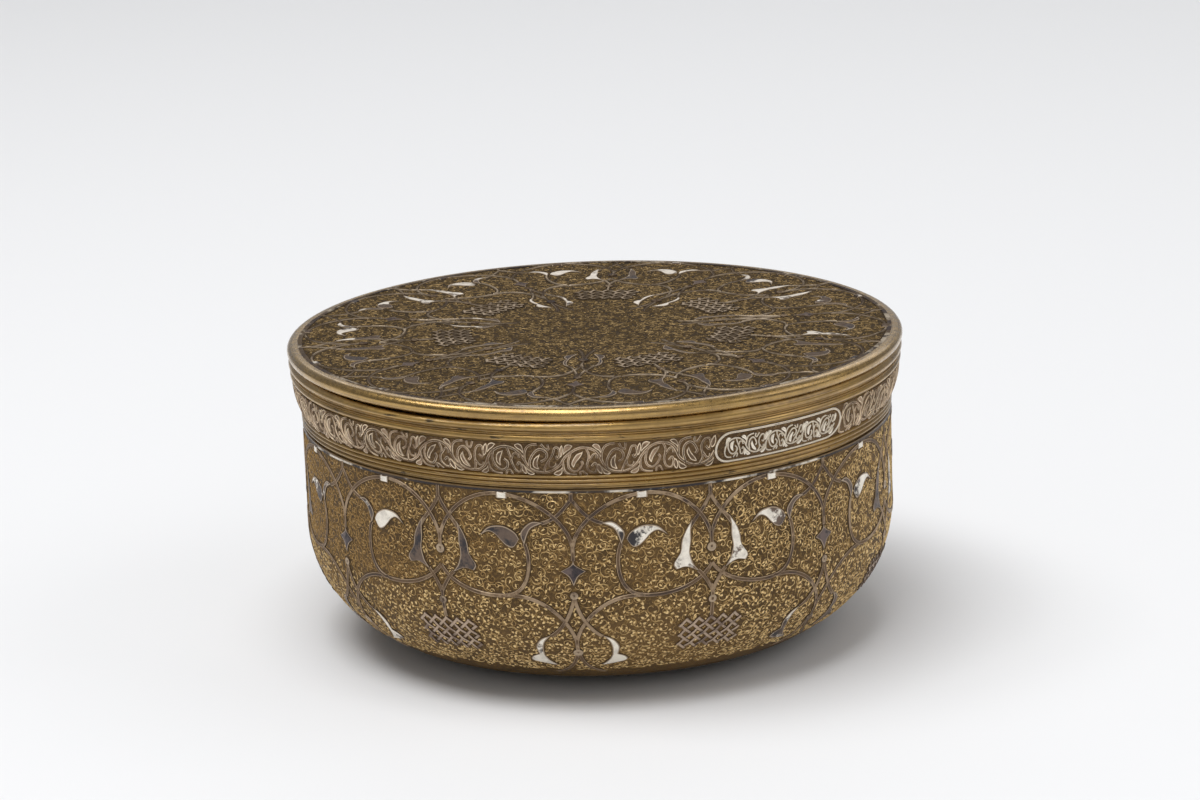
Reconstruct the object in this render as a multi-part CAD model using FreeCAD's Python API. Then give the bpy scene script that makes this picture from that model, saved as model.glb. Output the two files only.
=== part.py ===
"""Round lidded box of turned brass, inlaid with silver and a black compound.

The box is a deep bowl with a cast collar lapped round its mouth, and a flat lid that drops into the
mouth on a soldered locating ring. Silver straps, leaves, beads and knots lie in a dark ground on the
wall, the collar's frieze and the lid. Millimetres, +Z up, origin at the centre of the base.

An ornament is drawn once, for half a repeat, in unrolled coordinates: x runs to the right along the
wall from a lozenge axis, s runs down the wall from its top (on the lid, inwards from its border). Its
drawing is DRAWN_HALF wide and DRAWN_LENGTH deep, and is stretched over the surface that it is laid in.
"""

import FreeCAD, Part
import math
import os

Vec = FreeCAD.Vector

# Bowl: outer wall radius, height of the wall's top, wall thickness and the arcs of the bottom
BOWL_RADIUS = 74.5
WALL_TOP = 56.4
WALL = 1.5
BELLY_RADIUS = 29.7
CROWN_RADIUS = 220.0
BASE_FLAT_RADIUS = 22.0

# Collar: its height, the lap joint with the bowl and the turned bands, as heights down from its top
COLLAR_HEIGHT = 17.0
LAP_HEIGHT = 3.0
LAP_THICKNESS = 0.75
RIM_RADIUS = 76.75
RIM_EDGE = 0.5
BAND_SWELL = 0.3
UPPER_BAND = 2.7
GROOVE = 0.6
GROOVE_DEPTH = 0.35
LOWER_BAND = 2.0
FRIEZE_HEIGHT = 8.2
FRIEZE_TOP_RADIUS = 76.5
FRIEZE_FOOT_RADIUS = 74.35
FRIEZE_ROUND = 17.0
BEAD_SWELL = 0.35
BEAD_GROOVE = 0.3

# Lid: rim, plate and locating ring
LID_RADIUS = 77.5
LID_THICKNESS = 3.2
LID_TOP_RADIUS = 75.4
LID_SEAT_RADIUS = 76.3
LID_PLATE = 1.5
RING_DEPTH = 7.0
RING_WALL = 1.2
RING_CLEARANCE = 0.4

# Inlay: depth of its bed in the brass, of the compound's face under the silver, and how proud silver stands
INLAY_DEPTH = 0.35
GROUND_DEPTH = 0.15
PROUD = 0.05

# Widths of straps and wire, and the fields that they lie in
STRAP = 0.9
THIN_STRAP = 0.6
WIRE_TOP = 0.4
WIRE = 0.5
FIELD_LENGTH = 58.0
LID_FIELD_RADIUS = 74.9

# Layout: repeats round the wall and lid, and the bearing of the first lozenge from the front
REPEATS = 7
FIRST_LOZENGE_DEG = -5.3
DRAWN_HALF = 33.4
DRAWN_LENGTH = 58.0
KNOT_CELL = 1.5
KNOT_BAND = 0.9
KNOT_COLUMNS = 5
KNOT_ROWS = 3

# Frieze: panels round it, waves of the scroll between two panels and inside one
CARTOUCHES = 2
FIRST_CARTOUCHE_DEG = 35.7
CARTOUCHE_SPAN_DEG = 29.4
CARTOUCHE_MARGIN = 0.35
WAVES_BETWEEN = 22
WAVES_INSIDE = 6
SCROLL_STRAP = 0.5

# How far a cutting prism reaches in and out of the surface that it is drawn on, and points per curve
REACH_IN = 4.5
REACH_OUT = 2.5
CURVE_STEPS = 6

HALF_ANGLE = math.pi / REPEATS
BELLY_R = BOWL_RADIUS - BELLY_RADIUS
CROWN_ANGLE = math.asin((BELLY_R - BASE_FLAT_RADIUS) / (CROWN_RADIUS - BELLY_RADIUS))
BELLY_Z = CROWN_RADIUS - (CROWN_RADIUS - BELLY_RADIUS) * math.cos(CROWN_ANGLE)
STRAIGHT = WALL_TOP - BELLY_Z
FIELD_TOP = WIRE_TOP + WIRE
MOUTH_RADIUS = BOWL_RADIUS - WALL
SEAT_Z = WALL_TOP + COLLAR_HEIGHT
LID_TOP = SEAT_Z + LID_THICKNESS
LID_UNDERSIDE = LID_TOP - LID_PLATE
RING_RADIUS = MOUTH_RADIUS - RING_CLEARANCE
FRIEZE_TOP = SEAT_Z - UPPER_BAND - GROOVE - LOWER_BAND
FRIEZE_FOOT = FRIEZE_TOP - FRIEZE_HEIGHT


def rz(r, z):
    """A point of a turned profile, in the plane that is spun about the axis."""
    return Vec(r, 0, z)


def line(a, b):
    return Part.LineSegment(a, b).toShape()


def arc(a, middle, b):
    return Part.Arc(a, middle, b).toShape()


def bulge(a, b, swell):
    """An arc from a to b that swells to the right of the way down, towards larger radius."""
    along = b - a
    out = Vec(-along.z, 0, along.x).normalize()
    if out.x < 0:
        out = -out
    return arc(a, (a + b) * 0.5 + out * swell, b)


def polar(centre_r, centre_z, radius, angle):
    """A profile point on an arc; the angle runs from level outwards down to straight below."""
    return rz(centre_r + radius * math.cos(angle), centre_z - radius * math.sin(angle))


def spin(edges, start=0.0, sweep=2 * math.pi):
    """Turns a closed profile about the axis, from one bearing through a sweep."""
    outline = Part.Wire(Part.__sortEdges__(edges))
    solid = Part.Face(outline).revolve(Vec(), Vec(0, 0, 1), math.degrees(sweep))
    solid.rotate(Vec(), Vec(0, 0, 1), math.degrees(start) - 90)
    return solid


class Wall:
    """The bowl's outer wall: straight, then rolled under on the belly arc."""

    turn = HALF_ANGLE / DRAWN_HALF
    stretch = FIELD_LENGTH / DRAWN_LENGTH

    @staticmethod
    def profile(s, depth=0.0):
        """Radius, height and tilt of the outward normal below level, at a depth under the surface."""
        if s <= STRAIGHT:
            return BOWL_RADIUS - depth, WALL_TOP - s, 0.0
        tilt = (s - STRAIGHT) / BELLY_RADIUS
        point = polar(BELLY_R, BELLY_Z, BELLY_RADIUS - depth, tilt)
        return point.x, point.z, tilt

    @classmethod
    def run(cls, top, foot, depth):
        """The profile's edges at a depth, from s = top down to s = foot on the belly."""
        edges = [line(rz(*cls.profile(top, depth)[:2]), rz(*cls.profile(STRAIGHT, depth)[:2]))]
        end = (foot - STRAIGHT) / BELLY_RADIUS
        marks = [polar(BELLY_R, BELLY_Z, BELLY_RADIUS - depth, end * share) for share in (0, 0.5, 1)]
        return edges + [arc(*marks)]

    @classmethod
    def layer(cls, top, foot, deep, shallow, start=0.0, sweep=2 * math.pi):
        """A layer between two depths, from s = top to s = foot, over a sweep of bearings."""
        outer, inner = cls.run(top, foot, shallow), cls.run(top, foot, deep)
        ends = [(outer[0].Vertexes[0].Point, inner[0].Vertexes[0].Point)]
        ends += [(outer[1].Vertexes[1].Point, inner[1].Vertexes[1].Point)]
        return spin(outer + inner + [line(*pair) for pair in ends], start, sweep)


class Frieze:
    """The collar's frieze, a band that rounds in towards its foot."""

    turn = 1 / FRIEZE_TOP_RADIUS
    stretch = 1.0
    chord = rz(FRIEZE_FOOT_RADIUS, FRIEZE_FOOT) - rz(FRIEZE_TOP_RADIUS, FRIEZE_TOP)
    half_turn = math.asin(chord.Length / 2 / FRIEZE_ROUND)
    lean = math.atan2(FRIEZE_TOP_RADIUS - FRIEZE_FOOT_RADIUS, FRIEZE_HEIGHT)
    length = 2 * half_turn * FRIEZE_ROUND
    centre_r = FRIEZE_TOP_RADIUS - FRIEZE_ROUND * math.cos(lean - half_turn)
    centre_z = FRIEZE_TOP + FRIEZE_ROUND * math.sin(lean - half_turn)

    @classmethod
    def profile(cls, s, depth=0.0):
        tilt = cls.lean - cls.half_turn + s / FRIEZE_ROUND
        point = polar(cls.centre_r, cls.centre_z, FRIEZE_ROUND - depth, tilt)
        return point.x, point.z, tilt

    @classmethod
    def run(cls, top, foot, depth):
        return arc(*[rz(*cls.profile(s, depth)[:2]) for s in (top, (top + foot) / 2, foot)])

    @classmethod
    def layer(cls, top, foot, deep, shallow, start=0.0, sweep=2 * math.pi):
        outer, inner = cls.run(top, foot, shallow), cls.run(top, foot, deep)
        ends = [line(outer.Vertexes[i].Point, inner.Vertexes[i].Point) for i in (0, 1)]
        return spin([outer, inner] + ends, start, sweep)


class LidTop:
    """The lid's flat top; s runs inwards from the border."""

    turn = HALF_ANGLE / DRAWN_HALF
    stretch = 1.0

    @staticmethod
    def profile(s, depth=0.0):
        return LID_FIELD_RADIUS - s, LID_TOP - depth, -math.pi / 2

    @staticmethod
    def layer(top, foot, deep, shallow, start=0.0, sweep=2 * math.pi):
        rim, inner = LID_FIELD_RADIUS - top, LID_FIELD_RADIUS - foot
        floor, crest = LID_TOP - deep, LID_TOP - shallow
        corners = [rz(rim, crest), rz(rim, floor), rz(inner, floor), rz(inner, crest)]
        return spin(loop(corners), start, sweep)


def loop(points):
    """Straight edges through points and back to the first."""
    return [line(a, b) for a, b in zip(points, points[1:] + points[:1])]


def place(surface, x, s):
    """The point and outward normal of a surface at unrolled coordinates."""
    r, z, tilt = surface.profile(s * surface.stretch)
    bearing = x * surface.turn
    radial = Vec(math.sin(bearing), -math.cos(bearing), 0)
    return radial * r + Vec(0, 0, z), radial * math.cos(tilt) - Vec(0, 0, math.sin(tilt))


class Patch:
    """The plane that touches a surface under the middle of a motif, on which its outline is drawn."""

    def __init__(self, surface, points):
        self.surface = surface
        xs, ss = zip(*points)
        self.origin, self.normal = place(surface, (min(xs) + max(xs)) / 2, (min(ss) + max(ss)) / 2)

    def flat(self, x, s):
        """A surface point dropped square onto the plane."""
        point = place(self.surface, x, s)[0]
        return point - self.normal * (point - self.origin).dot(self.normal)

    def prism(self, edges):
        face = Part.Face(Part.Wire(edges))
        face.translate(self.normal * -REACH_IN)
        return face.extrude(self.normal * (REACH_IN + REACH_OUT))


def spline(points):
    """A smooth edge through points, or a straight one between two."""
    if len(points) == 2:
        return line(*points)
    curve = Part.BSplineCurve()
    curve.interpolate(points)
    return curve.toShape()


def bezier(poles):
    """Points along a Bezier curve that has these poles, in unrolled coordinates."""
    order = len(poles) - 1
    found = []
    for step in range(CURVE_STEPS):
        t = step / (CURVE_STEPS - 1)
        weights = [math.comb(order, i) * t**i * (1 - t) ** (order - i) for i in range(order + 1)]
        found.append(tuple(sum(w * p[axis] for w, p in zip(weights, poles)) for axis in (0, 1)))
    return found


def strap(surface, poles, width=STRAP):
    """A prism over a strap of even width along a Bezier centreline."""
    course = bezier(poles)
    patch = Patch(surface, course)
    middle = [patch.flat(*point) for point in course]
    left, right = [], []
    for i, point in enumerate(middle):
        along = middle[min(i + 1, len(middle) - 1)] - middle[max(i - 1, 0)]
        side = patch.normal.cross(along).normalize() * (width / 2)
        left.append(point + side)
        right.insert(0, point - side)
    return patch.prism([spline(left), line(left[-1], right[0]), spline(right), line(right[-1], left[0])])


def leaf(surface, stretches):
    """A prism over an outline of smooth stretches that meet at corners."""
    patch = Patch(surface, [point for stretch in stretches for point in stretch])
    return patch.prism([spline([patch.flat(*point) for point in stretch]) for stretch in stretches])


def bead(surface, x, s, radius):
    """A prism over a round bead."""
    patch = Patch(surface, [(x, s)])
    return patch.prism([Part.Circle(patch.origin, patch.normal, radius).toShape()])


def knot(surface, x, s):
    """A prism over an endless knot: bands on the slant that turn back at the sides of an oblong."""
    patch = Patch(surface, [(x, s)])
    right = (patch.flat(x + 1, s) - patch.flat(x - 1, s)).normalize()
    down = patch.normal.cross(right)
    wide, high, half = KNOT_COLUMNS * KNOT_CELL, KNOT_ROWS * KNOT_CELL, KNOT_BAND / 2
    bands = []
    for lean in (1, -1):
        way, across = (right + down * lean).normalize(), (down - right * lean).normalize()
        for row in range(KNOT_COLUMNS + KNOT_ROWS):
            offset = (KNOT_COLUMNS + KNOT_ROWS - 1 - 2 * row) * KNOT_CELL
            low, top = max(-wide, -lean * offset - high), min(wide, -lean * offset + high)
            ends = [patch.origin + right * u + down * (u * lean + offset) for u in (low, top)]
            corners = [ends[0] - way * half - across * half, ends[1] + way * half - across * half,
                       ends[1] + way * half + across * half, ends[0] - way * half + across * half]
            bands.append(patch.prism(loop(corners)))
    return bands[0].fuse(bands[1:]).removeSplitter()


def axis_motifs(surface):
    """Motifs that sit astride the two axes of a repeat, as (group, prism), with the top ones first."""
    a = DRAWN_HALF
    return [
        ("beads", bead(surface, 0, 26.2, 1.0)),
        ("beads", bead(surface, 0, 43.1, 1.25)),
        ("beads", bead(surface, a, 16.4, 1.2)),
        ("beads", bead(surface, a, 29.4, 1.05)),
        ("lozenges", leaf(surface, [
            [(0, 17.0), (0.55, 18.6), (3.0, 20.1)],
            [(3.0, 20.1), (1.2, 21.4), (0, 23.9)],
            [(0, 23.9), (-1.2, 21.4), (-3.0, 20.1)],
            [(-3.0, 20.1), (-0.55, 18.6), (0, 17.0)]])),
        ("knots", knot(surface, a, 38.9)),
        ("straps", strap(surface, [(0, 12.6), (0, 17.6)])),
        ("straps", strap(surface, [(0, 37.6), (0, 43.1)], THIN_STRAP)),
        ("straps", strap(surface, [(0, 0.0), (0, 3.0)], THIN_STRAP)),
        ("straps", strap(surface, [(a, 0.0), (a, 3.6)], THIN_STRAP)),
        ("straps", strap(surface, [(a, 11.4), (a, 16.4)], THIN_STRAP)),
        ("straps", strap(surface, [(a, 25.6), (a, 34.2)], THIN_STRAP)),
    ]


def side_motifs(surface):
    """Motifs between a lozenge axis and the next bead axis, as (group, prism), with the top ones first."""
    a = DRAWN_HALF
    return [
        ("hook_leaves", leaf(surface, [
            [(6.7, 8.2), (9.5, 8.0), (11.7, 9.7), (12.4, 11.4), (11.9, 13.8)],
            [(11.9, 13.8), (11.0, 13.7)],
            [(11.0, 13.7), (10.7, 11.4), (9.6, 9.7), (6.7, 8.2)]])),
        ("wing_leaves", leaf(surface, [
            [(12.7, 12.4), (13.8, 10.7), (16.2, 9.4), (18.6, 9.3), (20.7, 10.0), (22.9, 12.3)],
            [(22.9, 12.3), (20.4, 10.9), (18.4, 11.6), (17.1, 13.1), (15.7, 14.3), (14.2, 14.5), (12.7, 12.4)]])),
        ("boot_leaves", leaf(surface, [
            [(a - 4.6, 8.9), (a - 5.1, 11.6), (a - 5.1, 14.0), (a - 5.5, 16.7), (a - 4.9, 19.3), (a - 3.1, 22.1)],
            [(a - 3.1, 22.1), (a - 5.6, 20.9), (a - 7.6, 20.7), (a - 9.0, 21.0)],
            [(a - 9.0, 21.0), (a - 9.6, 19.6), (a - 8.6, 18.0)],
            [(a - 8.6, 18.0), (a - 7.8, 16.6), (a - 7.5, 14.2), (a - 6.3, 11.4), (a - 4.6, 8.9)]])),
        ("crescent_leaves", leaf(surface, [
            [(6.2, 37.1), (9.0, 38.4), (10.6, 41.0), (10.3, 43.9)],
            [(10.3, 43.9), (12.2, 44.9), (12.7, 46.6), (11.0, 46.9), (9.2, 48.3), (5.5, 49.1)],
            [(5.5, 49.1), (7.6, 46.6), (8.7, 44.1), (8.7, 41.6), (8.0, 39.2), (6.2, 37.1)]])),
        ("tabs", leaf(surface, loop_points(16.7, 0.4, 1.4, 2.2))),
        ("straps", strap(surface, [(0.1, 14.2), (0.5, 8.6), (8.5, 1.5), (18.0, 1.4)])),
        ("straps", strap(surface, [(17.9, 1.4), (26.5, 1.3), (a - 1.2, 8.0), (a - 0.1, 13.2)])),
        ("straps", strap(surface, [(0, 2.5), (1.6, 4.2), (3.2, 7.4), (7.4, 8.4)], THIN_STRAP)),
        ("straps", strap(surface, [(a, 3.2), (a - 1.4, 6.7), (a - 4.6, 9.3), (a - 5.8, 11.9)])),
        ("straps", strap(surface, [(11.5, 13.4), (9.7, 17.4), (10.2, 26.0), (16.4, 26.5)])),
        ("straps", strap(surface, [(a - 3.5, 21.8), (a - 1.9, 23.4), (a - 0.9, 25.4), (a, 27.2)])),
        ("straps", strap(surface, [(a, 20.4), (a - 2.4, 24.4), (24.5, 27.4), (16.2, 26.6)])),
        ("straps", strap(surface, [(0.1, 27.0), (0.8, 31.0), (3.4, 35.6), (6.5, 37.5)])),
        ("straps", strap(surface, [(16.5, 26.6), (6.6, 25.6), (0.8, 33.6), (0, 39.4)])),
        ("straps", strap(surface, [(0.3, 43.9), (0.9, 46.6), (1.6, 51.0), (7.4, 53.6)], THIN_STRAP)),
    ]


def loop_points(x, s, half_width, height):
    """The four stretches of an upright rectangle that hangs from s."""
    corners = [(x - half_width, s), (x + half_width, s), (x + half_width, s + height), (x - half_width, s + height)]
    return [list(pair) for pair in zip(corners, corners[1:] + corners[:1])]


def near(shape, others):
    return [other for other in others if other.BoundBox.intersect(shape.BoundBox)]


def lay(motifs, skin, over=()):
    """Cuts motifs out of a skin. What comes first lies on top, and what comes later is broken by it."""
    above, laid = list(over), {}
    for group, prism in motifs:
        piece = prism.common(skin)
        crossing = near(prism, above)
        if crossing:
            piece = piece.cut(crossing)
        laid.setdefault(group, []).extend(piece.Solids)
        above.append(prism)
    return laid, above


def turned(shape, angle):
    copy = shape.copy()
    copy.rotate(Vec(), Vec(0, 0, 1), math.degrees(angle))
    return copy


def mirrored(shape):
    """The other side of a lozenge axis."""
    return shape.mirror(Vec(), Vec(1, 0, 0))


def ornament(surface, foot, prefix):
    """All repeats of the inlay on the wall or the lid, and the ground that it is bedded on, by node name."""
    silver = (FIELD_TOP, foot, GROUND_DEPTH, -PROUD)
    whole, above = lay(axis_motifs(surface), surface.layer(*silver, -HALF_ANGLE / 2, 2 * HALF_ANGLE))
    sides, above = lay(side_motifs(surface), surface.layer(*silver, 0.0, HALF_ANGLE), above)
    nodes = {prefix + "_ground": [surface.layer(FIELD_TOP, foot, INLAY_DEPTH, GROUND_DEPTH)]}
    for repeat in range(REPEATS):
        bearing = 2 * HALF_ANGLE * repeat + math.radians(FIRST_LOZENGE_DEG)
        for group, pieces in whole.items():
            nodes.setdefault(f"{prefix}_{group}", []).extend(turned(piece, bearing) for piece in pieces)
        for group, pieces in sides.items():
            both = pieces + [mirrored(piece) for piece in pieces]
            nodes.setdefault(f"{prefix}_{group}", []).extend(turned(piece, bearing) for piece in both)
    return nodes


def wave(surface, middle, half_width, top, height, rising, width):
    """Prisms over one wave of a leaf scroll: the arched stem, the leaf curled under it and its bud."""

    def at(u, v):
        return middle + u * half_width, top + height * (v if rising else 1 - v)

    stem = [at(-1, 0.5), at(-0.62, -0.06), at(0.62, -0.06), at(1, 0.5)]
    curl = [[at(-0.8, 0.55), at(-0.42, 0.86), at(0.2, 0.88), at(0.6, 0.62), at(0.3, 0.33)],
            [at(0.3, 0.33), at(0.3, 0.58), at(0.05, 0.7), at(-0.35, 0.68), at(-0.8, 0.55)]]
    bud = [[at(-0.42, 0.3), at(-0.1, 0.3), at(0.0, 0.52)],
           [at(0.0, 0.52), at(-0.28, 0.5), at(-0.42, 0.3)]]
    return [leaf(surface, curl), leaf(surface, bud), strap(surface, stem, width)]


def stadium(patch, middle, half_length, half_height):
    """The edges of a round-ended outline, drawn on a patch of the frieze."""
    nose = max(half_length - half_height, 0.1)
    top, foot = middle - half_height, middle + half_height
    marks = [(-nose, top), (nose, top), (half_length, middle), (nose, foot), (-nose, foot), (-half_length, middle)]
    a, b, c, d, e, f = [patch.flat(*mark) for mark in marks]
    return [line(a, b), arc(b, c, d), line(d, e), arc(e, f, a)]


def collar_inlay():
    """The leaf scroll round the frieze, the framed panels that break it and the ground, by node name."""
    depth = Frieze.length
    silver = (0.0, depth, GROUND_DEPTH, -PROUD)
    panel = math.radians(CARTOUCHE_SPAN_DEG)
    step = (2 * math.pi / CARTOUCHES - panel) / WAVES_BETWEEN
    half = step / Frieze.turn / 2
    pair = []
    for index, rising in enumerate((True, False)):
        motifs = [("scroll", prism) for prism in
                  wave(Frieze, (2 * index + 1) * half, half, 0.0, depth, rising, SCROLL_STRAP)]
        pair += lay(motifs, Frieze.layer(*silver, index * step, step))[0]["scroll"]

    half_panel = panel / Frieze.turn / 2
    patch = Patch(Frieze, [(-half_panel, 0.0), (half_panel, depth)])
    reach = half_panel - CARTOUCHE_MARGIN
    rise = depth / 2 - CARTOUCHE_MARGIN
    outer = patch.prism(stadium(patch, depth / 2, reach, rise))
    inner = patch.prism(stadium(patch, depth / 2, reach - SCROLL_STRAP, rise - SCROLL_STRAP))
    motifs = [("frames", outer.cut(inner))]
    pitch = (reach - rise * 0.6) / WAVES_INSIDE
    for index in range(WAVES_INSIDE):
        middle = (2 * index + 1 - WAVES_INSIDE) * pitch
        motifs += [("filling", prism) for prism in
                   wave(Frieze, middle, pitch, depth * 0.17, depth * 0.66, index % 2 == 0, SCROLL_STRAP)]
    panels = lay(motifs, Frieze.layer(*silver, -panel / 2, panel))[0]

    ground = Frieze.layer(0.0, depth, INLAY_DEPTH, GROUND_DEPTH)
    nodes = {"collar_ground": [ground], "collar_scroll": [], "cartouche_frames": [], "cartouche_scroll": []}
    for index in range(CARTOUCHES):
        bearing = math.radians(FIRST_CARTOUCHE_DEG) + 2 * math.pi * index / CARTOUCHES
        nodes["cartouche_frames"] += [turned(solid, bearing) for solid in panels["frames"]]
        nodes["cartouche_scroll"] += [turned(solid, bearing) for solid in panels["filling"]]
        for count in range(WAVES_BETWEEN // 2):
            start = bearing + panel / 2 + 2 * step * count
            nodes["collar_scroll"] += [turned(solid, start) for solid in pair]
    return nodes


def bowl_shell():
    """The raised bowl, with a spigot for the collar's lap and a shallow bed for wire and ground."""
    end_tilt = (FIELD_LENGTH - STRAIGHT) / BELLY_RADIUS
    crown_tilt = math.pi / 2 - CROWN_ANGLE
    bed = Wall.run(WIRE_TOP, FIELD_LENGTH, INLAY_DEPTH)
    bed_top, bed_foot = bed[0].Vertexes[0].Point, bed[1].Vertexes[1].Point
    spigot = rz(MOUTH_RADIUS + LAP_THICKNESS, WALL_TOP)
    outer = [line(rz(MOUTH_RADIUS, WALL_TOP + LAP_HEIGHT), spigot + Vec(0, 0, LAP_HEIGHT)),
             line(spigot + Vec(0, 0, LAP_HEIGHT), spigot),
             line(spigot, rz(BOWL_RADIUS, WALL_TOP)),
             line(rz(BOWL_RADIUS, WALL_TOP), rz(BOWL_RADIUS, WALL_TOP - WIRE_TOP)),
             line(rz(BOWL_RADIUS, WALL_TOP - WIRE_TOP), bed_top)]
    belly = [polar(BELLY_R, BELLY_Z, BELLY_RADIUS, tilt)
             for tilt in (end_tilt, (end_tilt + crown_tilt) / 2, crown_tilt)]
    under = [line(bed_foot, belly[0]), arc(*belly), crown_arc(0.0), line(rz(BASE_FLAT_RADIUS, 0), rz(0, 0))]
    inner_belly = [polar(BELLY_R, BELLY_Z, BELLY_RADIUS - WALL, tilt) for tilt in (0, crown_tilt / 2, crown_tilt)]
    inside = [line(rz(0, 0), rz(0, WALL)), line(rz(0, WALL), rz(BASE_FLAT_RADIUS, WALL)), crown_arc(WALL),
              arc(*inner_belly), line(inner_belly[0], rz(MOUTH_RADIUS, WALL_TOP + LAP_HEIGHT))]
    return spin(outer + bed + under + inside)


def crown_arc(depth):
    """The gentle crown between the flat of the base and the belly, at a depth in the metal."""
    marks = [polar(BASE_FLAT_RADIUS, CROWN_RADIUS, CROWN_RADIUS - depth, math.pi / 2 - CROWN_ANGLE * share)
             for share in (0, 0.5, 1)]
    return arc(*marks)


def collar_ring():
    """The cast collar: two bands with a groove between, the frieze's bed and a double bead at the foot."""
    upper_foot = SEAT_Z - UPPER_BAND
    lower_top = upper_foot - GROOVE
    bead_height = (FRIEZE_FOOT - WALL_TOP - BEAD_GROOVE) / 2
    waist = FRIEZE_FOOT_RADIUS
    groove_r = RIM_RADIUS - GROOVE_DEPTH
    step = Frieze.run(0, Frieze.length, INLAY_DEPTH)
    top, foot = step.Vertexes[0].Point, step.Vertexes[1].Point
    lap = rz(MOUTH_RADIUS + LAP_THICKNESS, WALL_TOP + LAP_HEIGHT)
    first_bead = bulge(rz(waist, FRIEZE_FOOT), rz(waist, FRIEZE_FOOT - bead_height), BEAD_SWELL)
    second_top = FRIEZE_FOOT - bead_height - BEAD_GROOVE
    edges = [
        line(rz(MOUTH_RADIUS, SEAT_Z), rz(RIM_RADIUS - RIM_EDGE, SEAT_Z)),
        bulge(rz(RIM_RADIUS - RIM_EDGE, SEAT_Z), rz(RIM_RADIUS, SEAT_Z - RIM_EDGE), RIM_EDGE * 0.2),
        bulge(rz(RIM_RADIUS, SEAT_Z - RIM_EDGE), rz(RIM_RADIUS, upper_foot), BAND_SWELL),
        line(rz(RIM_RADIUS, upper_foot), rz(groove_r, upper_foot - GROOVE / 3)),
        line(rz(groove_r, upper_foot - GROOVE / 3), rz(groove_r, lower_top + GROOVE / 3)),
        line(rz(groove_r, lower_top + GROOVE / 3), rz(RIM_RADIUS, lower_top)),
        bulge(rz(RIM_RADIUS, lower_top), rz(FRIEZE_TOP_RADIUS, FRIEZE_TOP), BAND_SWELL),
        line(rz(FRIEZE_TOP_RADIUS, FRIEZE_TOP), top),
        step,
        line(foot, rz(waist, FRIEZE_FOOT)),
        first_bead,
        bulge(rz(waist, FRIEZE_FOOT - bead_height), rz(waist, second_top), -BEAD_GROOVE / 2),
        bulge(rz(waist, second_top), rz(waist, WALL_TOP), BEAD_SWELL),
        line(rz(waist, WALL_TOP), rz(lap.x, WALL_TOP)),
        line(rz(lap.x, WALL_TOP), lap),
        line(lap, rz(MOUTH_RADIUS, lap.z)),
        line(rz(MOUTH_RADIUS, lap.z), rz(MOUTH_RADIUS, SEAT_Z)),
    ]
    return spin(edges)


def lid_plate():
    """The lid: a flat plate with a bed for the inlay and a round-nosed rim that rests on the collar."""
    nose_z = SEAT_Z + LID_THICKNESS / 2
    bed_r = LID_FIELD_RADIUS - WIRE_TOP
    bed_z = LID_TOP - INLAY_DEPTH
    share = math.sqrt(0.5)
    over = rz(LID_TOP_RADIUS + (LID_RADIUS - LID_TOP_RADIUS) * share, nose_z + LID_THICKNESS / 2 * share)
    under = rz(LID_SEAT_RADIUS + (LID_RADIUS - LID_SEAT_RADIUS) * share, nose_z - LID_THICKNESS / 2 * share)
    return spin([
        line(rz(0, bed_z), rz(bed_r, bed_z)),
        line(rz(bed_r, bed_z), rz(bed_r, LID_TOP)),
        line(rz(bed_r, LID_TOP), rz(LID_TOP_RADIUS, LID_TOP)),
        arc(rz(LID_TOP_RADIUS, LID_TOP), over, rz(LID_RADIUS, nose_z)),
        arc(rz(LID_RADIUS, nose_z), under, rz(LID_SEAT_RADIUS, SEAT_Z)),
        line(rz(LID_SEAT_RADIUS, SEAT_Z), rz(RING_RADIUS, SEAT_Z)),
        line(rz(RING_RADIUS, SEAT_Z), rz(RING_RADIUS, LID_UNDERSIDE)),
        line(rz(RING_RADIUS, LID_UNDERSIDE), rz(0, LID_UNDERSIDE)),
        line(rz(0, LID_UNDERSIDE), rz(0, bed_z)),
    ])


def lid_locating_ring():
    """The strip soldered under the lid that drops into the collar's mouth."""
    foot = SEAT_Z - RING_DEPTH
    inner = RING_RADIUS - RING_WALL
    return spin(loop([rz(inner, foot), rz(RING_RADIUS, foot), rz(RING_RADIUS, LID_UNDERSIDE),
                      rz(inner, LID_UNDERSIDE)]))


def lid_border_wire():
    """The silver wire round the border of the lid's field."""
    return LidTop.layer(WIRE_TOP, FIELD_TOP, INLAY_DEPTH, -PROUD)


def bowl_border_wire():
    """The silver wire under the collar, on the straight of the wall."""
    bed, face = BOWL_RADIUS - INLAY_DEPTH, BOWL_RADIUS + PROUD
    top, foot = WALL_TOP - WIRE_TOP, WALL_TOP - FIELD_TOP
    return spin(loop([rz(bed, top), rz(face, top), rz(face, foot), rz(bed, foot)]))


def main():
    os.makedirs("parts", exist_ok=True)
    nodes = {
        "bowl_shell": [bowl_shell()],
        "collar_ring": [collar_ring()],
        "lid_plate": [lid_plate()],
        "lid_locating_ring": [lid_locating_ring()],
        "bowl_border_wire": [bowl_border_wire()],
        "lid_border_wire": [lid_border_wire()],
    }
    nodes.update(ornament(Wall, FIELD_LENGTH, "bowl"))
    nodes.update(ornament(LidTop, LID_FIELD_RADIUS, "lid"))
    nodes.update(collar_inlay())
    for name, solids in nodes.items():
        Part.makeCompound(solids).exportStep(f"parts/{name}.step")


main()
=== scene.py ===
"""Looks of a round brass box with a lift-off lid, inlaid with silver in a dark, gold-scrolled ground.

Lengths in the drawing code are millimetres, and become metres where a mesh is made. The ornament is
drawn once, for half a repeat, in unrolled coordinates: x runs to the right from a lozenge axis, s runs
down the wall from its top (on the lid, inwards from its border). A surface function turns (x, s) into
points and outward normals, so one drawing serves the wall, the lid and the collar's frieze.
"""

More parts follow.
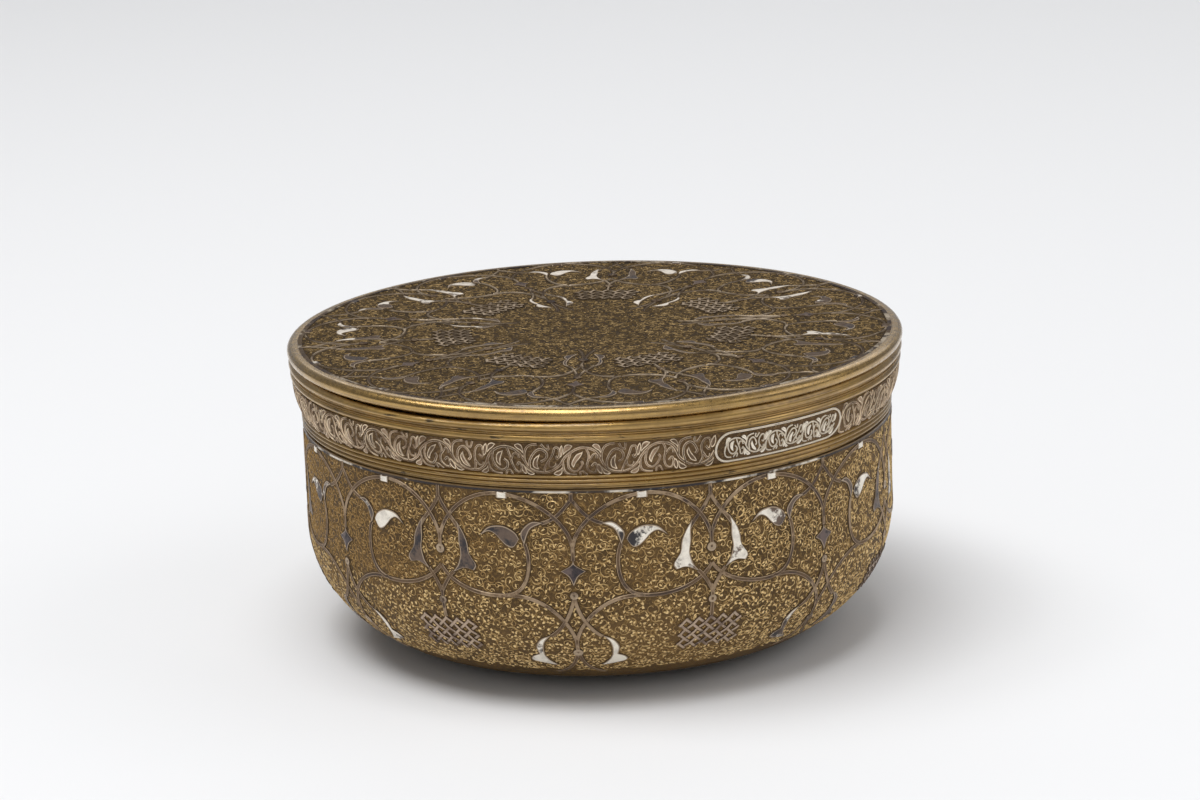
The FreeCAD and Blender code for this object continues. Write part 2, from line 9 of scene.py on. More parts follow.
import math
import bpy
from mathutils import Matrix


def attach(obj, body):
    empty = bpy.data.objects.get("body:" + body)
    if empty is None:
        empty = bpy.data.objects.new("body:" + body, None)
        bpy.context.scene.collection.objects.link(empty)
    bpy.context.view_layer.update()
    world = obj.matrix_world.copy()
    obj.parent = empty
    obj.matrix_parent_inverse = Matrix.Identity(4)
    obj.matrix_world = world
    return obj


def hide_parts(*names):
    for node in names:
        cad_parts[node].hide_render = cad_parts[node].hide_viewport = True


bl_info = {
    "name": "Inlaid lidded box",
    "version": (1, 0, 0),
    "blender": (4, 5, 0),
    "location": "View3D > Sidebar > Lidded Box",
    "description": "Dresses a packed model of a round lidded box as brass inlaid with silver",
    "category": "Object",
}

import bmesh
import bpy
import numpy as np
from bpy.props import FloatProperty, FloatVectorProperty, IntProperty, PointerProperty
from mathutils import Matrix, Vector

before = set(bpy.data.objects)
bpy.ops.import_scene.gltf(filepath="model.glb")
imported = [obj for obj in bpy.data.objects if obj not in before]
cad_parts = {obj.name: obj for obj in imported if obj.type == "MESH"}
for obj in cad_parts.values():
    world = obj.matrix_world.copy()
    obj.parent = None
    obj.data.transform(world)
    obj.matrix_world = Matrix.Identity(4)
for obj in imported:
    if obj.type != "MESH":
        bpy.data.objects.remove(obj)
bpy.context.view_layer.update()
MM = 0.001

# Turned shape, as the solids have it
BOWL_RADIUS = 74.5
WALL_TOP = 56.4
WALL = 1.5
BELLY_RADIUS = 29.7
CROWN_RADIUS = 220.0
BASE_FLAT_RADIUS = 22.0
LAP_HEIGHT = 3.0
LAP_THICKNESS = 0.75
RIM_RADIUS = 76.75
SEAT_Z = 73.4
LID_TOP = 76.6
LID_RADIUS = 77.5
LID_TOP_RADIUS = 75.4
LID_SEAT_RADIUS = 76.3
LID_PLATE = 1.5
RING_DEPTH = 7.0
RING_WALL = 1.2
RING_RADIUS = 72.6
FRIEZE_TOP = 68.1
FRIEZE_HEIGHT = 8.2
FRIEZE_TOP_RADIUS = 76.5
FRIEZE_FOOT_RADIUS = 74.35
FRIEZE_ROUND = 17.0
BED = 0.35
GROUND = 0.15
FIELD_TOP = 0.9
WIRE_TOP = 0.4
FIELD_LENGTH = 58.0
LID_FIELD_RADIUS = 74.9

# Radius at which a turned profile closes on the axis, and points round a turned piece
AXIS = 0.01
TURN_STEPS = 360

# Metres within which points of a mesh are joined, and edges taken for none
WELD = 2e-6
SLIVER = 1e-7

# Ornament drawing
REPEATS = 7
HALF = 33.4
TURN = math.pi / REPEATS / HALF
REPEAT_STARTS = np.stack([2 * HALF * np.arange(REPEATS), np.zeros(REPEATS)], -1)
MIRROR = np.array([-1, 1])
KNOT_CELL = 1.5
KNOT_COLUMNS = 5
KNOT_ROWS = 3
KNOT_HALF_BAND = 0.36
KNOT_LIFT = 0.12
CARTOUCHES = 2
CARTOUCHE_BEARING = math.radians(35.7)
CARTOUCHE_SPAN = math.radians(29.4)
CARTOUCHE_MARGIN = 0.35
FRAME_HALF_WIDTH = 0.25
WAVES_BETWEEN = 22
WAVES_INSIDE = 6

# On the lid, straps have this share of their width, and the border wire lies between these two distances
# from the edge of the field
LID_STRAP_SHARE = 0.55
LID_WIRE = (0.1, 1.2)

# Heights over the surface: sunk edges of inlay, foot and crest of gold, and the rise of a strap per level
SUNK = -0.2
GOLD_FOOT = -0.16
GOLD_CREST = -0.05
LEVEL_RISE = 0.05

# Where the bands of gold scrolls end on the wall and on the lid
WALL_SCROLL_ENDS = (FIELD_TOP + 0.6, 14.0, 27.5, 42.0, 52.0)
LID_SCROLL_ENDS = (FIELD_TOP + 0.9, 22.0, LID_FIELD_RADIUS - 2.0)

# Bearing from the front of the painted shade that dulls the gold scrolls on the wall's dim left side, and its
# width, in radians
SHADE_AT, SHADE_WIDTH = -1.05, 0.5

# Worn place of the collar's seat: bearing and width in radians, depth, and the height that it fades over
SEAT_WORN_AT, SEAT_WORN_WIDTH = -0.62, 0.42
SEAT_WORN, SEAT_WORN_FADE = 0.55, 2.2

MOUTH_RADIUS = BOWL_RADIUS - WALL
LAP_RADIUS = MOUTH_RADIUS + LAP_THICKNESS
BELLY_R = BOWL_RADIUS - BELLY_RADIUS
CROWN_ANGLE = math.asin((BELLY_R - BASE_FLAT_RADIUS) / (CROWN_RADIUS - BELLY_RADIUS))
BELLY_Z = CROWN_RADIUS - (CROWN_RADIUS - BELLY_RADIUS) * math.cos(CROWN_ANGLE)
STRAIGHT = WALL_TOP - BELLY_Z
FRIEZE_FOOT = FRIEZE_TOP - FRIEZE_HEIGHT
FRIEZE_CHORD = math.hypot(FRIEZE_TOP_RADIUS - FRIEZE_FOOT_RADIUS, FRIEZE_HEIGHT)
FRIEZE_HALF_TURN = math.asin(FRIEZE_CHORD / 2 / FRIEZE_ROUND)
FRIEZE_LEAN = math.atan2(FRIEZE_TOP_RADIUS - FRIEZE_FOOT_RADIUS, FRIEZE_HEIGHT)
FRIEZE_LENGTH = 2 * FRIEZE_HALF_TURN * FRIEZE_ROUND
FRIEZE_TURN = 1 / FRIEZE_TOP_RADIUS

# Straps of half a repeat: Bezier poles, and the level that decides which one passes over at a crossing
SIDE_STRAPS = [
    ([(0.1, 14.2), (0.5, 8.6), (8.5, 1.5), (18.0, 1.4)], 1),
    ([(17.9, 1.4), (26.5, 1.3), (HALF - 1.2, 8.0), (HALF - 0.1, 13.2)], 1),
    ([(0, 2.5), (1.6, 4.2), (3.2, 7.4), (7.4, 8.4)], 0),
    ([(HALF, 3.2), (HALF - 1.4, 6.7), (HALF - 4.6, 9.3), (HALF - 5.8, 11.9)], 0),
    ([(11.5, 13.4), (9.7, 17.4), (10.2, 26.0), (16.4, 26.5)], 2),
    ([(HALF - 3.5, 21.8), (HALF - 1.9, 23.4), (HALF - 0.9, 25.4), (HALF, 27.2)], 2),
    ([(HALF, 20.4), (HALF - 2.4, 24.4), (24.5, 27.4), (16.2, 26.6)], 1),
    ([(0.1, 27.0), (0.8, 31.0), (3.4, 35.6), (6.5, 37.5)], 2),
    ([(16.5, 26.6), (6.6, 25.6), (0.8, 33.6), (0, 39.4)], 1),
    ([(0.3, 43.9), (0.9, 46.6), (1.6, 51.0), (7.4, 53.6)], 0),
]
AXIS_STRAPS = [
    ([(0, 12.6), (0, 17.6)], 2),
    ([(0, 37.6), (0, 43.1)], 2),
    ([(0, 0.7), (0, 3.0)], 2),
    ([(HALF, 0.7), (HALF, 3.6)], 2),
    ([(HALF, 11.4), (HALF, 16.4)], 2),
    ([(HALF, 25.6), (HALF, 34.2)], 2),
]

# Leaves of half a repeat: the two sides from root to tip, each a list of smooth stretches
LEAVES = {
    "hook_leaves": (
        [[(6.7, 8.2), (9.5, 8.0), (11.7, 9.7), (12.4, 11.4), (11.5, 13.9)]],
        [[(6.7, 8.2), (9.6, 9.6), (10.7, 11.4), (11.5, 13.9)]]),
    "wing_leaves": (
        [[(12.7, 12.4), (13.8, 10.7), (16.2, 9.4), (18.6, 9.3), (20.7, 10.0), (22.9, 12.3)]],
        [[(12.7, 12.4), (14.2, 14.5), (15.7, 14.3), (17.1, 13.1), (18.6, 11.5), (20.4, 10.9), (22.9, 12.3)]]),
    "boot_leaves": (
        [[(HALF - 4.6, 8.9), (HALF - 5.1, 11.6), (HALF - 5.1, 14.0), (HALF - 5.5, 16.7), (HALF - 5.2, 18.5)],
         [(HALF - 5.2, 18.5), (HALF - 4.5, 20.3), (HALF - 3.1, 22.1)]],
        [[(HALF - 4.6, 8.9), (HALF - 6.3, 11.4), (HALF - 7.5, 14.2), (HALF - 7.9, 17.0), (HALF - 9.6, 19.6),
          (HALF - 9.0, 21.0)],
         [(HALF - 9.0, 21.0), (HALF - 6.4, 20.6), (HALF - 3.1, 22.1)]]),
    "crescent_leaves": (
        [[(6.2, 37.1), (9.0, 38.4), (10.6, 41.0), (10.3, 43.9)],
         [(10.3, 43.9), (12.3, 45.0), (12.7, 46.6), (9.9, 47.8), (5.5, 49.1)]],
        [[(6.2, 37.1), (8.0, 39.2), (8.7, 41.6), (8.7, 44.1)],
         [(8.7, 44.1), (8.1, 45.8), (7.3, 47.0), (5.5, 49.1)]]),
}
LOZENGE = (
    [[(0, 17.0), (0.55, 18.6), (3.0, 20.1)], [(3.0, 20.1), (1.2, 21.4), (0, 23.9)]],
    [[(0, 17.0), (-0.55, 18.6), (-3.0, 20.1)], [(-3.0, 20.1), (-1.2, 21.4), (0, 23.9)]])

# Beads: place and radius. Tab: middle, top, half width and height. Knot: middle
BEADS = [(0, 26.2, 1.0), (0, 43.1, 1.25), (HALF, 16.4, 1.2), (HALF, 29.4, 1.05)]
TAB = (16.7, 0.9, 1.4, 1.7)
KNOT = (HALF, 38.9)

# One wave of the frieze, in shares of its half length and of the frieze's height: a stem and lines with
# their widths in millimetres, and leaves
FRIEZE_STEM = ([(-1, 0.5), (-0.6, -0.04), (0.6, -0.04), (1, 0.5)], 0.46)
FRIEZE_LINES = [
    ([(-0.66, 0.2), (-0.72, 0.48), (-0.56, 0.74), (-0.26, 0.84), (0.02, 0.74), (0.08, 0.56), (-0.1, 0.46)],
     0.42),
    ([(0.1, 0.1), (0.24, 0.36), (0.34, 0.62), (0.5, 0.86), (0.74, 0.88), (0.82, 0.7), (0.7, 0.56),
      (0.58, 0.66)], 0.38),
    ([(-1.0, 0.5), (-0.97, 0.74), (-0.84, 0.9), (-0.6, 0.97), (-0.3, 0.99)], 0.4),
    ([(-0.1, 0.99), (0.0, 0.86), (0.16, 0.84), (0.24, 0.99)], 0.36),
    ([(0.3, 0.46), (0.44, 0.3), (0.64, 0.3), (0.72, 0.42)], 0.34),
]
FRIEZE_LEAVES = [
    ([(-0.3, 0.7), (-0.52, 0.54), (-0.44, 0.3), (-0.1, 0.2)],
     [(-0.3, 0.7), (-0.3, 0.52), (-0.24, 0.4), (-0.1, 0.2)]),
    ([(0.84, 0.6), (0.96, 0.66), (1.04, 0.82), (1.0, 0.97)],
     [(0.84, 0.6), (0.82, 0.78), (0.88, 0.9), (1.0, 0.97)]),
    ([(-0.98, 0.32), (-0.9, 0.08), (-0.7, 0.01), (-0.5, 0.05)],
     [(-0.98, 0.32), (-0.84, 0.22), (-0.68, 0.15), (-0.5, 0.05)]),
    ([(0.5, 0.05), (0.72, 0.0), (0.92, 0.08), (0.98, 0.3)],
     [(0.5, 0.05), (0.66, 0.14), (0.84, 0.2), (0.98, 0.3)]),
]

# Share of the silver that is lost: on the left and the right leaf of the repeats at the left, the middle
# and the right, and on the tabs
WORN = {
    "hook_leaves": [(0.7, 0.7), (0.85, 0.28), (0.9, 0.8)],
    "wing_leaves": [(0.58, 0.35), (1.0, 0.48), (0.5, 0.6)],
    "boot_leaves": [(0.8, 0.95), (0.95, 0.2), (0.35, 0.8)],
    "crescent_leaves": [(0.85, 0.4), (0.3, 0.25), (0.45, 0.85)],
}
TAB_WORN = {"bowl": 0.12, "lid": 0.7}

# Stage, in metres: lights with place and size, and where they aim
LIGHTS = {
    "key": ((-0.29, -0.4, 2.13), (1.3, 1.4)),
    "left": ((-1.0, 0.1, 1.85), (0.7, 0.7)),
    "right": ((1.7, -0.2, 1.3), (1.4, 1.2)),
    "front": ((0.45, -1.7, 1.1), (2.2, 1.3)),
    "back": ((0.3, 1.85, 1.2), (2.0, 0.7)),
}
LIGHT_AIM = Vector((0, 0, 0.04))

# Picture: its width and where the middle of the lid falls from its middle, in pixels; sensor; height aimed at
PICTURE_WIDTH = 1200
LID_ACROSS, LID_UP = -5.5, 66.8
SENSOR = 36.0
AIM_Z = 75.3


def length(name, description, default, least=0.0):
    """A length setting, given in millimetres."""
    return FloatProperty(name=name, description=description, default=default * MM, min=least * MM,
                         subtype="DISTANCE", unit="LENGTH", precision=5)


def angle(name, description, degrees):
    """An angle setting, given in degrees."""
    return FloatProperty(name=name, description=description, default=math.radians(degrees), subtype="ANGLE",
                         unit="ROTATION")


def colour(name, description, *default):
    """An opaque colour setting."""
    return FloatVectorProperty(name=name, description=description, subtype="COLOR", size=4, min=0.0, max=1.0,
                               default=(*default, 1.0))


def power(name, description, watts):
    """A lamp's power setting."""
    return FloatProperty(name=name, description=description, default=watts, min=0.0, unit="POWER")


class BoxOrnament(bpy.types.PropertyGroup):
    """Sizes of the inlay and of the gold scrolls between it."""

    bearing: angle("Lozenge bearing", "Where the first lozenge axis stands, to the right of the front", -5.3)
    strap_width: length("Strap width", "Width of a strap with its two pale edges", 1.12)
    upper_pitch: length(
        "Upper scroll pitch", "Spacing of the gold spirals in the upper compartments", 2.2, 1.0)
    lower_pitch: length("Lower scroll pitch", "Spacing of the dotted gold spirals low on the bowl", 1.9, 1.0)
    lid_pitch: length("Lid scroll pitch", "Spacing of the gold spirals on the lid", 1.9, 1.0)
    line_width: length("Scroll line", "Width of a gold line at its foot", 0.16)
    seed: IntProperty(
        name="Seed", description="Start value for the uneven hand of the work", default=11, min=0)


class BoxFinish(bpy.types.PropertyGroup):
    """Colours of the metals and the ground."""

    brass: colour("Brass", "Polished brass of the rims", 0.5, 0.316, 0.098)
    brass_dull: colour("Dull brass", "Browned brass in hollows and on worn bands", 0.19, 0.112, 0.036)
    gold: colour("Scroll gold", "Brass of the raised scrolls", 0.94, 0.69, 0.33)
    ground: colour("Ground", "Dark compound between the scrolls", 0.062, 0.036, 0.0135)
    silver: colour("Silver", "Bright silver of the leaves", 0.98, 0.91, 0.79)
    tarnish: colour("Tarnish", "Violet grey of blackened silver", 0.032, 0.028, 0.031)


class BoxStage(bpy.types.PropertyGroup):
    """Camera and light."""

    lens: FloatProperty(
        name="Lens", description="Focal length on a 36 mm wide sensor", default=108.0, min=1.0,
        subtype="DISTANCE_CAMERA")
    distance: FloatProperty(
        name="Distance", description="From the camera to the middle of the lid", default=0.9092, min=0.1,
        subtype="DISTANCE", unit="LENGTH")
    elevation: angle("Elevation", "Height of the camera above the lid as an angle", 14.1)
    roll: angle("Roll", "Tilt of the picture; the right side is higher", 1.9)
    key_power: power(
        "Key light", "Power of the wide soft light overhead, a little to the front and left", 32.0)
    left_power: power("Left light", "Power of the weaker light to the left", 7.5)
    right_power: power("Right light", "Power of the weaker light to the right", 6.8)
    front_power: power("Front card", "Power of the large dim card in front", 3.6)
    back_power: power("Back light", "Power of the weaker light behind", 5.0)
    world_light: FloatProperty(
        name="World light", description="Strength of the even light all round", default=0.31, min=0.0)
    room_gloss: FloatProperty(
        name="Room in reflections", description="How pale the room round the object looks in its metal",
        default=0.27, min=0.0, max=1.0)


def unrolled(x, s):
    """Unrolled places as two arrays of one shape."""
    return np.broadcast_arrays(np.asarray(x, float), np.asarray(s, float))


def wall(x, s):
    """The bowl's wall: straight down to s = STRAIGHT, then an arc of BELLY_RADIUS that rolls under."""
    x, s = unrolled(x, s)
    tilt = np.clip((s - STRAIGHT) / BELLY_RADIUS, 0, None)
    r = BELLY_R + BELLY_RADIUS * np.cos(tilt)
    z = np.where(s < STRAIGHT, WALL_TOP - s, BELLY_Z - BELLY_RADIUS * np.sin(tilt))
    return spun(r, z, tilt, x * TURN + bpy.context.scene.box_ornament.bearing)


def lid_top(x, s):
    """The lid's flat top: radius falls as s grows, and the normal points up."""
    x, s = unrolled(x, s)
    flat = np.zeros_like(s)
    bearing = x * TURN + bpy.context.scene.box_ornament.bearing
    return spun(LID_FIELD_RADIUS - s, flat + LID_TOP, flat - math.pi / 2, bearing)


def frieze(x, s):
    """The collar's frieze: an arc of FRIEZE_ROUND through top and foot; x is arc length from the front."""
    x, s = unrolled(x, s)
    first = FRIEZE_LEAN - FRIEZE_HALF_TURN
    tilt = first + s / FRIEZE_ROUND
    r = FRIEZE_TOP_RADIUS + FRIEZE_ROUND * (np.cos(tilt) - math.cos(first))
    z = FRIEZE_TOP - FRIEZE_ROUND * (np.sin(tilt) - math.sin(first))
    return spun(r, z, tilt, x * FRIEZE_TURN)


BODIES = ((wall, "bowl"), (lid_top, "lid"))


def spun(r, z, tilt, bearing):
    """Points at radius r and height z on a bearing from the front, and normals tilted below level."""
    sin, cos = np.sin(bearing), np.cos(bearing)
    points = np.stack([r * sin, -r * cos, z], -1)
    normals = np.stack([np.cos(tilt) * sin, -np.cos(tilt) * cos, -np.sin(tilt)], -1)
    return points, normals


def reach_of_x(surface, s):
    """Millimetres along the wall or the lid for one unit of x at s."""
    points, _ = surface(np.zeros_like(s), s)
    return np.hypot(points[..., 0], points[..., 1]) * TURN


def bezier(poles, count):
    """Points of the Bezier curve with these poles, at even steps of its parameter."""
    poles = np.asarray(poles, float)
    order = len(poles) - 1
    t = np.linspace(0, 1, count)[:, None]
    i = np.arange(order + 1)
    weights = np.array([math.comb(order, k) for k in i]) * t**i * (1 - t) ** (order - i)
    return weights @ poles


def through(points, count):
    """A Catmull-Rom curve through points, at even steps of its parameter."""
    p = np.asarray(points, float)
    ends = np.vstack([2 * p[0] - p[1], p, 2 * p[-1] - p[-2]])
    t = np.linspace(0, len(p) - 1, count)
    i = np.minimum(t.astype(int), len(p) - 2)
    f = (t - i)[:, None]
    a, b, c, d = ends[i], ends[i + 1], ends[i + 2], ends[i + 3]
    return 0.5 * (2 * b + (c - a) * f + (2 * a - 5 * b + 4 * c - d) * f**2 + (3 * b - a - 3 * c + d) * f**3)


def side_of(stretches, count):
    """One side of a leaf: its stretches end to end, each with an even share of the points."""
    share = count // len(stretches)
    return np.vstack([through(stretch, share) for stretch in stretches])


def all_round(course):
    """A course of half a repeat with its mirror image, for every repeat: (2 * REPEATS, steps, 2)."""
    both = np.stack([course, course * MIRROR])
    return (both[None] + REPEAT_STARTS[:, None, None]).reshape(-1, *course.shape)


def each_repeat(course):
    """A course astride an axis, once for every repeat: (REPEATS, steps, 2)."""
    return course[None] + REPEAT_STARTS[:, None]


def ribbons(surface, courses, offsets, heights):
    """A profile carried along courses by side offsets and heights, as (count, steps, profile) points."""
    points, normals = surface(courses[..., 0], courses[..., 1])
    along = np.gradient(points, axis=1)
    along /= np.maximum(np.linalg.norm(along, axis=-1, keepdims=True), 1e-9)
    side = np.cross(normals, along)
    shape = (*courses.shape[:2], np.shape(heights)[-1])
    offsets = np.broadcast_to(offsets, shape)[..., None]
    heights = np.broadcast_to(heights, shape)[..., None]
    return points[:, :, None] + side[:, :, None] * offsets + normals[:, :, None] * heights


def nearness(share, points):
    """How near each point of a ribbon is to its sides: 0 in the middle, 1 at the side."""
    return np.broadcast_to(np.abs(share), points.shape[:3]).ravel()


def quads(count, rows, columns, closed_rows=False, closed_columns=False):
    """Vertex numbers of the faces of count grids of rows by columns points, laid one after another."""
    grid = np.arange(rows * columns).reshape(rows, columns)
    if closed_rows:
        grid = np.vstack([grid, grid[:1]])
    if closed_columns:
        grid = np.hstack([grid, grid[:, :1]])
    faces = np.stack([grid[:-1, :-1], grid[1:, :-1], grid[1:, 1:], grid[:-1, 1:]], -1).reshape(-1, 4)
    return (faces[None] + (np.arange(count) * rows * columns)[:, None, None]).reshape(-1, 4)


def piece(name, points, faces, body, material, stands_for, values, weld=False, sharp=40.0):
    """A finished object at the origin: millimetre points to a mesh, with point values, finish and body.

    Edges sharper than the angle sharp, in degrees, stay hard.
    """
    points = np.asarray(points, float).reshape(-1, 3)
    used, faces = np.unique(faces, return_inverse=True)
    faces = faces.reshape(-1, 4)
    mesh = bpy.data.meshes.new(name)
    mesh.from_pydata(points[used] * MM, [], faces)
    for key, value in values.items():
        data = np.broadcast_to(value, points.shape[:-1]).astype(np.float32)[used]
        mesh.attributes.new(key, "FLOAT", "POINT").data.foreach_set("value", data)
    if weld:
        work = bmesh.new()
        work.from_mesh(mesh)
        bmesh.ops.remove_doubles(work, verts=work.verts, dist=WELD)
        bmesh.ops.dissolve_degenerate(work, edges=work.edges, dist=SLIVER)
        work.to_mesh(mesh)
        work.free()
    mesh.shade_smooth()
    mesh.set_sharp_from_angle(angle=math.radians(sharp))
    mesh.materials.append(material)
    thing = bpy.data.objects.new(name, mesh)
    bpy.context.scene.collection.objects.link(thing)
    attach(thing, body)
    if stands_for:
        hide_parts(*stands_for)


def silver_grids(name, points, body, finish, node, closed=False, weld=False, **values):
    """Grids of points as a silver piece in place of one node; a closed grid joins its ends."""
    faces = quads(*points.shape[:3], closed_rows=closed)
    piece(name, points, faces, body, finish, [node], values, weld)


def arc_points(centre, radius, first, last, count):
    """Profile points on an arc; angles run from level outwards down to straight below, in degrees."""
    turn = np.radians(np.linspace(first, last, count))
    return np.stack([centre[0] + radius * np.cos(turn), centre[1] - radius * np.sin(turn)], -1)


def swell(top, foot, out, count=12):
    """Profile points from top to foot that swell outwards by a half sine."""
    t = np.linspace(0, 1, count)[:, None]
    line = np.asarray(top, float) * (1 - t) + np.asarray(foot, float) * t
    line[:, 0] += out * np.sin(np.pi * t[:, 0])
    return line


def lathe(name, profile, body, material, stands_for, warp=None):
    """A closed profile of (radius, height) points turned about the axis.

    Warp, where given, moves the points by (bearing, r, z).
    """
    profile = np.asarray(profile, float)
    bearing = np.linspace(0, 2 * np.pi, TURN_STEPS, endpoint=False)[:, None]
    shape = (TURN_STEPS, len(profile))
    r, z = [np.broadcast_to(part, shape) for part in profile.T]
    if warp:
        r, z = warp(bearing, r, z)
    points = np.stack([r * np.sin(bearing), -r * np.cos(bearing), z], -1)
    faces = quads(1, *shape, closed_rows=True, closed_columns=True)
    down = np.concatenate([[0], np.cumsum(np.hypot(*np.diff(profile, axis=0).T))])
    values = {"around": np.broadcast_to(bearing, shape).ravel(), "down": np.broadcast_to(down, shape).ravel()}
    piece(name, points, faces, body, material, stands_for, values, weld=True)


class Nodes:
    """Shorthand for building a node tree: inputs may be values or the sockets of earlier nodes."""

    def __init__(self, tree):
        self.tree = tree

    def add(self, kind, inputs=None, **settings):
        node = self.tree.nodes.new(kind)
        for key, value in settings.items():
            setattr(node, key, value)
        for key, value in (inputs or {}).items():
            self.feed(node.inputs[key], value)
        return node

    def feed(self, socket, value):
        """Joins or sets an input; a colour of three parts is made opaque."""
        if isinstance(value, bpy.types.NodeSocket):
            self.tree.links.new(value, socket)
        elif socket.type == "RGBA" and len(value) == 3:
            socket.default_value = (*value, 1.0)
        else:
            socket.default_value = value

    def mix(self, share, a, b):
        """Colour a where share is 0, colour b where it is 1."""
        node = self.add("ShaderNodeMix", data_type="RGBA")
        for index, value in ((0, share), (6, a), (7, b)):
            self.feed(node.inputs[index], value)
        return node.outputs[2]

    def calc(self, kind, a, b=0.0, clamp=False):
        return self.add("ShaderNodeMath", {0: a, 1: b}, operation=kind, use_clamp=clamp).outputs[0]

    def plus(self, a, b, clamp=False):
        return self.calc("ADD", a, b, clamp)

    def times(self, a, b):
        return self.calc("MULTIPLY", a, b)

    def span(self, value, low, high, start=0.0, end=1.0):
        """A value's place between low and high, smoothed, as start to end."""
        keys = {"Value": value, "From Min": low, "From Max": high, "To Min": start, "To Max": end}
        return self.add("ShaderNodeMapRange", keys, interpolation_type="SMOOTHSTEP").outputs["Result"]

    def point_value(self, name):
        return self.add("ShaderNodeAttribute", attribute_name=name).outputs["Fac"]

    def noise(self, scale, detail, rough, vector=None):
        place = vector or self.add("ShaderNodeTexCoord").outputs["Object"]
        keys = {"Vector": place, "Scale": scale, "Detail": detail, "Roughness": rough}
        return self.add("ShaderNodeTexNoise", keys).outputs["Fac"]

    def bump(self, height, distance):
        keys = {"Height": height, "Distance": distance, "Strength": 1.0}
        return self.add("ShaderNodeBump", keys).outputs[0]

    def place(self, tree, **inputs):
        """Places a shared group with its own values, and gives its outputs."""
        return self.add("ShaderNodeGroup", inputs, node_tree=tree).outputs


def group(name, inputs, outputs):
    """A new shader group with float inputs (name, default) and float outputs."""
    tree = bpy.data.node_groups.new(name, "ShaderNodeTree")
    for key, default in inputs:
        tree.interface.new_socket(key, in_out="INPUT", socket_type="NodeSocketFloat").default_value = default
    for key in outputs:
        tree.interface.new_socket(key, in_out="OUTPUT", socket_type="NodeSocketFloat")
    nodes = Nodes(tree)
    return tree, nodes, nodes.add("NodeGroupInput").outputs, nodes.add("NodeGroupOutput").inputs


def tarnish_group():
    """Patches of tarnish or loss: cloud noise with a finer broken edge, cut at a level set by Cover."""
    inputs = [("Scale", 60.0), ("Cover", 0.5), ("Softness", 0.06)]
    tree, nodes, given, out = group("Tarnish patches", inputs, ["Mask"])
    cloud = nodes.noise(given["Scale"], 5.0, 0.62)
    fine = nodes.noise(nodes.times(given["Scale"], 7.0), 3.0, 0.6)
    blend = nodes.plus(nodes.times(cloud, 0.8), nodes.times(fine, 0.2))
    level = nodes.calc("SUBTRACT", 0.72, nodes.times(given["Cover"], 0.44))
    low = nodes.calc("SUBTRACT", level, given["Softness"])
    high = nodes.plus(level, given["Softness"])
    nodes.feed(out["Mask"], nodes.span(blend, low, high))
    return tree


def hand_group():
    """Marks of hand work: a fine tooth and slow dents, as a height for bump and a lift for roughness."""
    tree, nodes, given, out = group("Hand marks", [("Scale", 900.0), ("Dents", 0.4)], ["Height", "Rough"])
    tooth = nodes.noise(given["Scale"], 3.0, 0.6)
    slow = nodes.noise(nodes.times(given["Scale"], 0.16), 3.0, 0.5)
    nodes.feed(out["Height"], nodes.plus(tooth, nodes.times(slow, given["Dents"])))
    nodes.feed(out["Rough"], nodes.span(tooth, 0.3, 0.7, -0.08, 0.12))
    return tree


def turning_group():
    """Lines left by turning: noise drawn out along the bearing and crowded across the profile."""
    tree, nodes, given, out = group("Turning lines", [("Fineness", 3.0), ("Length", 2.0)], ["Line", "Stain"])
    around = nodes.point_value("around")

    def ring(radius, fineness):
        return nodes.add("ShaderNodeCombineXYZ", {
            "X": nodes.times(nodes.calc("COSINE", around), radius),
            "Y": nodes.times(nodes.calc("SINE", around), radius),
            "Z": nodes.times(nodes.point_value("down"), fineness)}).outputs[0]

    nodes.feed(out["Line"], nodes.noise(1.0, 3.0, 0.65, ring(given["Length"], given["Fineness"])))
    nodes.feed(out["Stain"], nodes.noise(1.0, 5.0, 0.7, ring(9.0, 0.5)))
    return tree


def material(name, **plain):
    """A material with a Principled shader; plain gives the values that are the same all over."""
    made = bpy.data.materials.new(name)
    made.use_nodes = True
    made.node_tree.nodes.clear()
    nodes = Nodes(made.node_tree)
    shader = nodes.add("ShaderNodeBsdfPrincipled")
    nodes.add("ShaderNodeOutputMaterial", {"Surface": shader.outputs[0]})
    for key, value in plain.items():
        nodes.feed(shader.inputs[key.replace("_", " ")], value)
    return made, nodes, shader.inputs


FINISHES = {}


